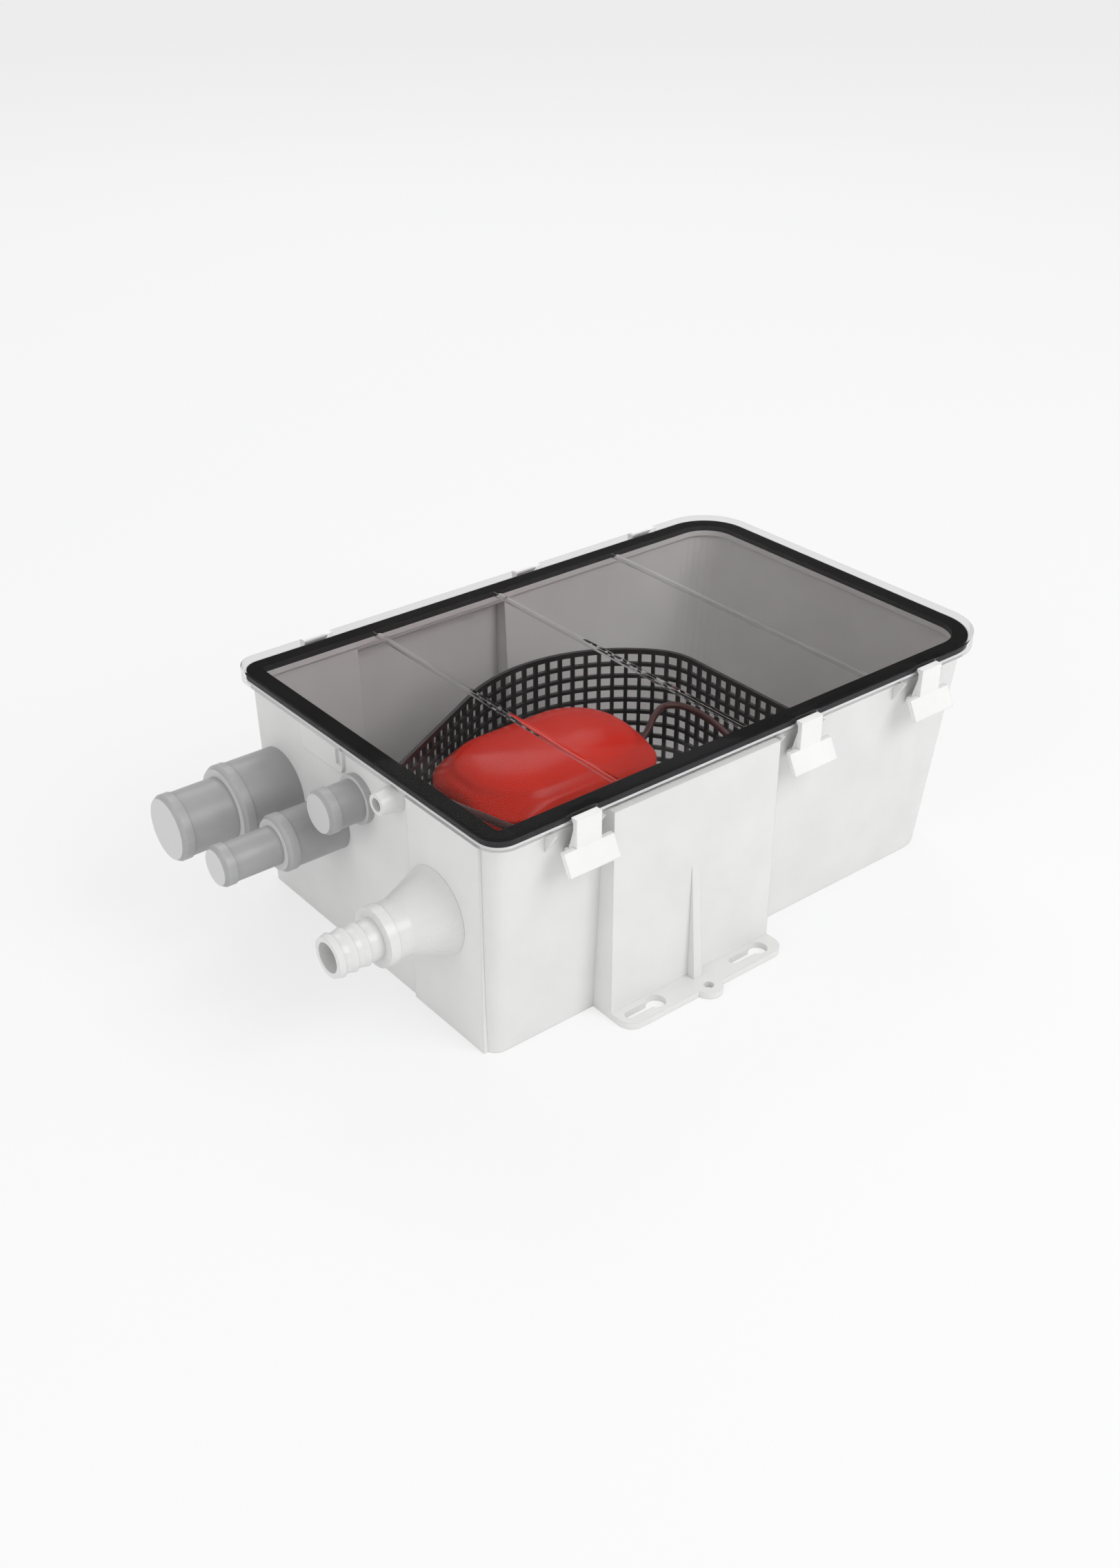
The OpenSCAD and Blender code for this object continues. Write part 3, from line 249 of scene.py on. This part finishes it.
plasticLooks = {
    "boxPlastic": {
        "color": (0.80, 0.80, 0.79), "mottle": (0.76, 0.76, 0.755), "edge": (0.88, 0.88, 0.87),
        "rough": 0.42, "roughSpread": 0.06, "grainScale": 1400.0, "grainDepth": 0.00004,
        "marks": 0.35, "markScale": 70.0, "rub": 0.25, "dust": 0.03},
    "latchPlastic": {
        "color": (0.90, 0.90, 0.89), "mottle": (0.86, 0.86, 0.85), "edge": (0.95, 0.95, 0.94),
        "rough": 0.3, "roughSpread": 0.05, "grainScale": 1600.0, "grainDepth": 0.00003,
        "marks": 0.1, "dust": 0.02},
    # painted shade: the stubs' darker grey stands in for shade on their sides, and their end colour
    # is painted light on the end faces
    "stubPlasticPaintedShadeAndLight": {
        "color": (0.40, 0.40, 0.405), "mottle": (0.36, 0.36, 0.365), "edge": (0.62, 0.62, 0.62),
        "rough": 0.34, "roughSpread": 0.06, "grainScale": 1500.0, "grainDepth": 0.00004,
        "marks": 0.1, "rub": 0.4, "dust": 0.03, "paintedLightEndColor": (0.66, 0.66, 0.66)},
    "palePlastic": {
        "color": (0.78, 0.78, 0.775), "mottle": (0.74, 0.74, 0.735), "edge": (0.88, 0.88, 0.87),
        "rough": 0.26, "roughSpread": 0.05, "grainScale": 1500.0, "grainDepth": 0.00003,
        "marks": 0.1, "rub": 0.3, "dust": 0.02},
    "blackPlastic": {
        "color": (0.012, 0.012, 0.013), "mottle": (0.02, 0.02, 0.021), "edge": (0.06, 0.06, 0.06),
        "rough": 0.42, "roughSpread": 0.08, "grainScale": 1500.0, "grainDepth": 0.00005,
        "rub": 0.3, "dust": 0.04},
    "darkPlastic": {
        "color": (0.06, 0.06, 0.065), "mottle": (0.08, 0.08, 0.085), "edge": (0.16, 0.16, 0.16),
        "rough": 0.4, "roughSpread": 0.08, "grainScale": 1500.0, "grainDepth": 0.00005,
        "dust": 0.05},
    "redPlastic": {
        "color": (0.90, 0.024, 0.004), "mottle": (0.82, 0.018, 0.003), "edge": (0.92, 0.05, 0.02),
        "rough": 0.22, "roughSpread": 0.04, "grainScale": 900.0, "grainDepth": 0.00002,
        "grainStrength": 0.2, "coat": 0.15, "coatRough": 0.05, "ior": 1.26, "rub": 0.2,
        "dust": 0.0},
    "sealRubber": {
        "color": (0.012, 0.012, 0.014), "mottle": (0.02, 0.02, 0.022), "edge": (0.05, 0.05, 0.05),
        "rough": 0.62, "roughSpread": 0.08, "grainScale": 1200.0, "grainDepth": 0.00006,
        "dust": 0.04},
    "hoseRubber": {
        "color": (0.045, 0.045, 0.05), "mottle": (0.065, 0.065, 0.07), "edge": (0.12, 0.12, 0.12),
        "rough": 0.55, "roughSpread": 0.08, "grainScale": 800.0, "grainDepth": 0.0001,
        "dust": 0.06},
    "leadSheath": {
        "color": (0.075, 0.014, 0.01), "mottle": (0.055, 0.01, 0.008), "edge": (0.14, 0.04, 0.03),
        "rough": 0.34, "roughSpread": 0.06, "grainScale": 1800.0, "grainDepth": 0.00003,
        "coat": 0.2},
    "carbon": {
        "color": (0.02, 0.02, 0.02), "mottle": (0.035, 0.035, 0.035), "edge": (0.1, 0.1, 0.1),
        "rough": 0.7, "roughSpread": 0.1, "grainScale": 2500.0, "grainDepth": 0.0001, "dust": 0.02},
}
materials = {name: mouldedMaterial(name, look) for name, look in plasticLooks.items()}
print("plastics and rubbers:", len(materials))


# Metals: a brushed or turned surface with lines along one direction

metalFinish = {"mottleScale": 900.0, "roughSpread": 0.07, "lineStrength": 0.4, "edgeRound": 0.0004}


def metalMaterial(name, look):
    material, tree, shader = startMaterial(name)
    place = addNode(tree, "ShaderNodeTexCoord")
    stretch = addNode(tree, "ShaderNodeMapping")
    stretch.inputs["Scale"].default_value = look["stretch"]
    lines = addNode(tree, "ShaderNodeTexNoise")
    lines.inputs["Scale"].default_value = look["lineScale"]
    lines.inputs["Detail"].default_value = noise["lineDetail"]
    tree.links.new(place.outputs["Object"], stretch.inputs["Vector"])
    tree.links.new(stretch.outputs["Vector"], lines.inputs["Vector"])
    grain = addGroup(tree, fineGrain, Scale=metalFinish["mottleScale"])
    turn = addRange(tree, grain.outputs["Mottle"], *noise["mottleSpan"])
    tint = addMix(tree, turn, look["color"], look["mottle"])
    tree.links.new(tint, shader.inputs["Base Color"])
    addRoughness(tree, shader, lines.outputs["Fac"], look["rough"], metalFinish["roughSpread"])
    addBump(tree, shader, lines.outputs["Fac"], look["lineDepth"], metalFinish["lineStrength"],
            metalFinish["edgeRound"])
    shader.inputs["Metallic"].default_value = 1.0
    return material


metalLooks = {
    "steel": {
        "color": (0.62, 0.62, 0.61), "mottle": (0.52, 0.52, 0.52), "rough": 0.28,
        "stretch": (1.0, 1.0, 14.0), "lineScale": 120.0, "lineDepth": 0.00003},
    "magnet": {
        "color": (0.10, 0.10, 0.11), "mottle": (0.14, 0.14, 0.15), "rough": 0.5,
        "stretch": (1.0, 1.0, 1.0), "lineScale": 700.0, "lineDepth": 0.0001},
    "winding": {
        "color": (0.62, 0.24, 0.09), "mottle": (0.48, 0.17, 0.06), "rough": 0.34,
        "stretch": (1.0, 1.0, 30.0), "lineScale": 90.0, "lineDepth": 0.0002},
    "bronze": {
        "color": (0.55, 0.36, 0.14), "mottle": (0.45, 0.28, 0.10), "rough": 0.42,
        "stretch": (1.0, 1.0, 1.0), "lineScale": 1500.0, "lineDepth": 0.0001},
}
materials.update({name: metalMaterial(name, look) for name, look in metalLooks.items()})
print("metals:", len(metalLooks))


# Smoked clear plastic: the plate is tinted, and the upright sides of the skirt and ribs get a pale
# tint as a painted highlight

lidLook = {"tint": (0.70, 0.685, 0.69), "haze": (0.67, 0.655, 0.66), "paintedHighlightTint": (0.93, 0.93, 0.94),
           "shadowTint": (0.80, 0.79, 0.79, 1.0), "rough": 0.012, "scratchRough": 0.024,
           "ior": 1.06, "mottleScale": 300.0, "scratchScale": 160.0, "scratchStretch": 0.5,
           "scratchDepth": 0.000004, "scratchStrength": 0.3, "edgeRound": 0.0006,
           "uprightFrom": 0.3, "uprightTo": 0.7}


def clearMaterial():
    material, tree, shader = startMaterial("clearPlastic")
    grain = addGroup(tree, fineGrain, Scale=lidLook["mottleScale"])
    turn = addRange(tree, grain.outputs["Mottle"], *noise["mottleSpan"])
    plate = addMix(tree, turn, lidLook["tint"], lidLook["haze"])
    # painted highlight: upright faces take the pale tint so the skirt and ribs show as bright
    # strips and lines
    paintedHighlightSides = facingMask(tree, "Z", lidLook["uprightFrom"], lidLook["uprightTo"], 1.0, 0.0)
    tree.links.new(addMix(tree, paintedHighlightSides, plate, lidLook["paintedHighlightTint"]), shader.inputs["Base Color"])
    scratches = addGroup(tree, drawMarks, Scale=lidLook["scratchScale"],
                         Stretch=lidLook["scratchStretch"])
    rough = addRange(tree, scratches.outputs["Mask"], 0.0, 1.0, lidLook["rough"],
                     lidLook["scratchRough"])
    tree.links.new(rough, shader.inputs["Roughness"])
    addBump(tree, shader, scratches.outputs["Mask"], lidLook["scratchDepth"],
            lidLook["scratchStrength"], lidLook["edgeRound"])
    shader.inputs["IOR"].default_value = lidLook["ior"]
    shader.inputs["Transmission Weight"].default_value = 1.0
    through = addNode(tree, "ShaderNodeBsdfTransparent")
    through.inputs["Color"].default_value = lidLook["shadowTint"]
    rays = addNode(tree, "ShaderNodeLightPath")
    blend = addNode(tree, "ShaderNodeMixShader")
    tree.links.new(rays.outputs["Is Shadow Ray"], blend.inputs["Fac"])
    tree.links.new(shader.outputs["BSDF"], blend.inputs[1])
    tree.links.new(through.outputs["BSDF"], blend.inputs[2])
    tree.links.new(blend.outputs["Shader"], tree.nodes["Material Output"].inputs["Surface"])
    return material


materials["clearPlastic"] = clearMaterial()


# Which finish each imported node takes

nodeFinish = {
    "boxPlastic": ["sump_box"],
    "clearPlastic": ["clear_lid"],
    "sealRubber": ["lid_seal", "check_flap", "cap_grommet", "shaft_seal"],
    "latchPlastic": ["latch_front_left", "latch_front_middle", "latch_front_right",
                     "latch_rear_left", "latch_rear_middle", "latch_rear_right"],
    "stubPlasticPaintedShadeAndLight": ["inlet_large", "inlet_medium", "inlet_small"],
    "palePlastic": ["cable_nipple", "outlet_fitting"],
    "blackPlastic": ["strainer_screen", "pump_base", "pump_body", "float_bracket"],
    "darkPlastic": ["outlet_tailpiece", "discharge_elbow", "impeller", "float_arm"],
    "redPlastic": ["pump_cap"],
    "hoseRubber": ["discharge_hose"],
    "leadSheath": ["pump_lead"],
    "steel": ["latch_pins", "flap_pin", "hose_clamps", "base_screws", "motor_shaft", "motor_can",
              "float_pin"],
    "magnet": ["motor_magnets"],
    "winding": ["armature"],
    "carbon": ["motor_brushes"],
    "bronze": ["shaft_bushes"],
}

for finish, names in nodeFinish.items():
    for name in names:
        cadNodes[name].material_slots[0].material = materials[finish]
print("finishes given to", sum(len(names) for names in nodeFinish.values()), "nodes")


def newPiece(name, mesh, finish, body, standsFor):
    piece = bpy.data.objects.new(name, mesh)
    bpy.context.scene.collection.objects.link(piece)
    piece.data.materials.append(materials[finish])
    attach(piece, body)
    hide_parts(standsFor)
    return piece


# Square-holed strainer: a flat grid laid out along the plan path and stood up

strainer = {"frontX": 0.0515, "turnY": 0.0056, "turnRadius": 0.028,
            "bendRadius": 0.082, "turnAngle": 39.8, "leadAngle": 117.7, "sheet": 0.0018,
            "pitch": 0.0068, "bar": 0.0019, "rim": 0.0026,
            "wallTop": 0.0945, "wallLean": 0.0055, "wallHeight": 0.1073, "wallInset": 0.0033,
            "edgeRound": 0.0003, "edgeSteps": 2}


def strainerPath():
    turn = Vector((strainer["frontX"] - strainer["turnRadius"], strainer["turnY"]))
    away = math.radians(strainer["turnAngle"])
    gap = strainer["bendRadius"] - strainer["turnRadius"]
    bend = turn - gap * Vector((math.cos(away), math.sin(away)))
    lead = math.radians(strainer["leadAngle"])
    leadEnd = bend + strainer["bendRadius"] * Vector((math.cos(lead), math.sin(lead)))
    low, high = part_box("strainer_screen")
    legLength = strainer["turnY"] - low.y
    leadLength = (leadEnd.x - low.x) / math.sin(lead)
    stretches = [legLength, strainer["turnRadius"] * away, strainer["bendRadius"] * (lead - away),
                 leadLength]

    def place(u):
        if u < stretches[0]:
            return Vector((strainer["frontX"], low.y + u)), Vector((1.0, 0.0))
        u -= stretches[0]
        if u < stretches[1]:
            angle = u / strainer["turnRadius"]
            out = Vector((math.cos(angle), math.sin(angle)))
            return turn + strainer["turnRadius"] * out, out
        u -= stretches[1]
        if u < stretches[2]:
            angle = away + u / strainer["bendRadius"]
            out = Vector((math.cos(angle), math.sin(angle)))
            return bend + strainer["bendRadius"] * out, out
        u -= stretches[2]
        out = Vector((math.cos(lead), math.sin(lead)))
        return leadEnd + u * Vector((-out.y, out.x)), out

    return sum(stretches), low.z, high.z, place


def stops(length, pitch, bar, edge):
    count = max(1, round((length - 2 * edge + bar) / pitch))
    step = (length - 2 * edge + bar) / count
    marks = [0.0]
    for i in range(count):
        marks += [edge + i * step, edge + (i + 1) * step - bar]
    return marks + [length]


def buildStrainer():
    length, low, high, place = strainerPath()
    along = stops(length, strainer["pitch"], strainer["bar"], strainer["rim"])
    up = stops(high - low, strainer["pitch"], strainer["bar"], strainer["rim"])
    mesh = bmesh.new()
    half = strainer["sheet"] / 2
    corners = {}
    for i, u in enumerate(along):
        middle, out = place(u)
        for k, z in enumerate(up):
            for side in (0, 1):
                spot = middle + out * (half if side else -half)
                lean = strainer["wallLean"] * (1 - (low + z) / strainer["wallHeight"])
                reach = strainer["wallTop"] - lean - strainer["wallInset"]
                corners[i, k, side] = mesh.verts.new((spot.x, max(spot.y, -reach), low + z))

    def solid(i, k):
        inside = 0 <= i < len(along) - 1 and 0 <= k < len(up) - 1
        return inside and not (i % 2 == 1 and k % 2 == 1)

    for i in range(len(along) - 1):
        for k in range(len(up) - 1):
            if not solid(i, k):
                continue
            cell = [(i, k), (i + 1, k), (i + 1, k + 1), (i, k + 1)]
            mesh.faces.new([corners[spot + (1,)] for spot in cell])
            mesh.faces.new([corners[spot + (0,)] for spot in cell[:1] + cell[:0:-1]])
            # the cell's edge stays open where the next cell is solid too
            for di, dk, a, b in ((-1, 0, cell[3], cell[0]), (1, 0, cell[1], cell[2]),
                                 (0, -1, cell[0], cell[1]), (0, 1, cell[2], cell[3])):
                if not solid(i + di, k + dk):
                    edge = [a + (1,), a + (0,), b + (0,), b + (1,)]
                    mesh.faces.new([corners[spot] for spot in edge])
    bmesh.ops.recalc_face_normals(mesh, faces=mesh.faces)
    data = bpy.data.meshes.new("strainerGrid")
    mesh.to_mesh(data)
    mesh.free()
    piece = newPiece("strainerGrid", data, "blackPlastic", "sump", "strainer_screen")
    bevel = piece.modifiers.new("edges", "BEVEL")
    bevel.width = strainer["edgeRound"]
    bevel.segments = strainer["edgeSteps"]


buildStrainer()
print("strainer grid built")


# Pump cap: a lofted shell with a groove and a low crown, rounder at its ends above the groove

cap = {"shoulder": 0.075, "wall": 0.0025, "cornerPoints": 14, "lowRadius": 0.021,
       "highRadius": 0.0315, "roundFrom": 0.0703, "roundTo": 0.0745, "leastRadius": 0.015,
       "grooveAt": 0.0691, "grooveDepth": 0.0008, "grooveRim": 0.0012, "grooveLip": 0.0008,
       "grooveFloor": 0.0004, "shoulderRadius": 0.006, "shoulderTurn": 70, "shoulderSteps": 4,
       "shoulderShare": 0.6, "crownSpread": 0.026, "crownFullness": 0.9, "crownSteps": 8,
       "endShare": 2.02}


def capCorner(z):
    share = min(max((z - cap["roundFrom"]) / (cap["roundTo"] - cap["roundFrom"]), 0.0), 1.0)
    return cap["lowRadius"] + (cap["highRadius"] - cap["lowRadius"]) * share


def roundedRing(low, high, inset, z):
    ring = []
    points = cap["cornerPoints"]
    x0, x1 = low.x + inset, high.x - inset
    y0, y1 = low.y + inset, high.y - inset
    radius = min(max(capCorner(z) - inset, cap["leastRadius"]), (y1 - y0) / cap["endShare"])
    for cx, cy, start in ((x1 - radius, y1 - radius, 0), (x0 + radius, y1 - radius, 90),
                          (x0 + radius, y0 + radius, 180), (x1 - radius, y0 + radius, 270)):
        for i in range(points + 1):
            a = math.radians(start + 90 * i / points)
            ring.append((cx + radius * math.cos(a), cy + radius * math.sin(a), z))
    return ring


def capProfile(low, high):
    groove, depth, fillet = cap["grooveAt"], cap["grooveDepth"], cap["shoulderRadius"]
    rows = [(0.0, low.z), (0.0, groove - cap["grooveRim"]), (0.0, groove - cap["grooveLip"]),
            (depth, groove - cap["grooveFloor"]), (depth, groove + cap["grooveFloor"]),
            (0.0, groove + cap["grooveLip"]), (0.0, groove + cap["grooveRim"])]
    for i in range(cap["shoulderSteps"] + 1):
        a = math.radians(cap["shoulderTurn"] * i / cap["shoulderSteps"])
        rows.append((fillet * (1 - math.cos(a)),
                     cap["shoulder"] - fillet * cap["shoulderShare"] + fillet * math.sin(a)))
    inset, z = rows[-1]
    for i in range(1, cap["crownSteps"] + 1):
        a = math.radians(90 * i / cap["crownSteps"])
        spread = cap["crownSpread"] * (1 - math.cos(a)) ** cap["crownFullness"]
        rows.append((inset + spread, z + (high.z - z) * math.sin(a)))
    return rows


def buildCap():
    low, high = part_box("pump_cap")
    mesh = bmesh.new()
    outer = capProfile(low, high)
    wall = cap["wall"]
    inner = [(inset + wall, max(z - wall, low.z)) for inset, z in outer
             if inset == 0.0 or z > cap["shoulder"]]
    loops = []
    for inset, z in outer + inner[::-1]:
        loops.append([mesh.verts.new(p) for p in roundedRing(low, high, inset, z)])
    count = len(loops[0])
    for rows in (loops[:len(outer)], loops[len(outer):]):
        for a, b in zip(rows, rows[1:]):
            for i in range(count):
                mesh.faces.new([a[i], a[(i + 1) % count], b[(i + 1) % count], b[i]])
    for i in range(count):
        first, last = loops[0], loops[-1]
        mesh.faces.new([last[i], last[(i + 1) % count], first[(i + 1) % count], first[i]])
    mesh.faces.new(loops[len(outer) - 1])
    mesh.faces.new(loops[len(outer)])
    bmesh.ops.recalc_face_normals(mesh, faces=mesh.faces)
    for face in mesh.faces:
        face.smooth = True
    data = bpy.data.meshes.new("redCap")
    mesh.to_mesh(data)
    mesh.free()
    newPiece("redCap", data, "redPlastic", "sump", "pump_cap")


buildCap()
print("pump cap built")


# Pump lead: one smooth round cord from the cap to the nipple

lead = {"radius": 0.00175, "fullness": 0.98, "ringSteps": 5, "curveSteps": 8, "handles": 6,
        # in millimetres
        "route": [(0, -10, 62), (9, -9, 66), (18, -5, 71), (27, -2, 72), (35, -6, 71),
                  (38, -18, 70), (35, -38, 69), (26, -60, 69), (5, -75, 71), (-30, -80, 74),
                  (-70, -81, 79), (-105, -74, 86), (-124, -52, 94), (-133, -31, 97),
                  (-139, -26, 98), (-145, -26, 98), (-152, -26, 98)]}


def buildLead():
    curve = bpy.data.curves.new("pumpLead", "CURVE")
    curve.dimensions = "3D"
    curve.bevel_depth = lead["radius"] * lead["fullness"]
    curve.bevel_resolution = lead["ringSteps"]
    curve.use_fill_caps = True
    curve.resolution_u = lead["curveSteps"]
    spline = curve.splines.new("BEZIER")
    points = [Vector(p) / 1000 for p in lead["route"]]
    spline.bezier_points.add(len(points) - 1)
    for i, (knot, spot) in enumerate(zip(spline.bezier_points, points)):
        before, after = points[max(i - 1, 0)], points[min(i + 1, len(points) - 1)]
        knot.co = spot
        knot.handle_left = spot - (after - before) / lead["handles"]
        knot.handle_right = spot + (after - before) / lead["handles"]
    newPiece("pumpLead", curve, "leadSheath", "sump", "pump_lead")


buildLead()
print("pump lead built")


# Floor, lamps, world and camera

studio = {"floorSize": 12.0, "floorColor": (0.92, 0.92, 0.925, 1.0), "floorRough": 0.9,
          "floorGlow": 0.62, "floorGap": 0.0002, "world": 0.62, "lookAt": (0.0, 0.0, 0.06)}
lamps = {"keyBox": {"spot": (0.5, -1.5, 1.3), "size": (1.2, 1.2), "power": 15.0},
         "fillBox": {"spot": (-1.7, -0.1, 0.8), "size": (1.0, 1.2), "power": 5.0},
         "backBox": {"spot": (0.8, 1.3, 1.6), "size": (1.2, 1.0), "power": 6.0}}


def buildFloor():
    half = studio["floorSize"] / 2
    mesh = bpy.data.meshes.new("studioFloor")
    sheet = [(-half, -half, 0), (half, -half, 0), (half, half, 0), (-half, half, 0)]
    mesh.from_pydata(sheet, [], [(0, 1, 2, 3)])
    floor = bpy.data.objects.new("studioFloor", mesh)
    bpy.context.scene.collection.objects.link(floor)
    floor.location.z = -studio["floorGap"]
    material, tree, shader = startMaterial("floorPaper")
    shader.inputs["Base Color"].default_value = studio["floorColor"]
    shader.inputs["Roughness"].default_value = studio["floorRough"]
    glow = addNode(tree, "ShaderNodeEmission")
    rays = addNode(tree, "ShaderNodeLightPath")
    seen = addMath(tree, "MAXIMUM", rays.outputs["Is Camera Ray"],
                   rays.outputs["Is Transmission Ray"])
    blend = addNode(tree, "ShaderNodeMixShader")
    tree.links.new(addMath(tree, "MULTIPLY", seen, studio["floorGlow"]), blend.inputs["Fac"])
    tree.links.new(shader.outputs["BSDF"], blend.inputs[1])
    tree.links.new(glow.outputs["Emission"], blend.inputs[2])
    tree.links.new(blend.outputs["Shader"], tree.nodes["Material Output"].inputs["Surface"])
    mesh.materials.append(material)


def buildWorld():
    world = bpy.data.worlds.new("studioWorld")
    bpy.context.scene.world = world
    world.use_nodes = True
    tree = world.node_tree
    light = tree.nodes["Background"]
    light.inputs["Color"].default_value = (1.0, 1.0, 1.0, 1.0)
    light.inputs["Strength"].default_value = studio["world"]
    white = addNode(tree, "ShaderNodeBackground")
    white.inputs["Strength"].default_value = 1.0
    rays = addNode(tree, "ShaderNodeLightPath")
    blend = addNode(tree, "ShaderNodeMixShader")
    tree.links.new(rays.outputs["Is Camera Ray"], blend.inputs["Fac"])
    tree.links.new(light.outputs[0], blend.inputs[1])
    tree.links.new(white.outputs[0], blend.inputs[2])
    tree.links.new(blend.outputs["Shader"], tree.nodes["World Output"].inputs["Surface"])


def buildLamp(name, look):
    lamp = bpy.data.lights.new(name, "AREA")
    lamp.shape = "RECTANGLE"
    lamp.size, lamp.size_y = look["size"]
    lamp.energy = look["power"]
    holder = bpy.data.objects.new(name, lamp)
    bpy.context.scene.collection.objects.link(holder)
    holder.location = look["spot"]
    aim = Vector(studio["lookAt"]) - Vector(look["spot"])
    holder.rotation_euler = aim.to_track_quat("-Z", "Y").to_euler()


view = {"spot": (-0.4755, -0.5430, 0.4686), "turn": 51.05, "dip": 30.85, "lens": 39.484,
        "sensor": 36.0, "clip": 0.01}


def buildCamera():
    camera = bpy.data.cameras.new("camera")
    camera.sensor_fit = "AUTO"
    camera.sensor_width = view["sensor"]
    camera.lens = view["lens"]
    camera.clip_start = view["clip"]
    holder = bpy.data.objects.new("camera", camera)
    bpy.context.scene.collection.objects.link(holder)
    holder.location = view["spot"]
    holder.rotation_euler = (math.radians(90 - view["dip"]), 0.0, math.radians(view["turn"] - 90))
    bpy.context.scene.camera = holder


buildFloor()
buildWorld()
for name, look in lamps.items():
    buildLamp(name, look)
buildCamera()
bpy.context.scene.view_settings.view_transform = "Standard"
print("studio ready")
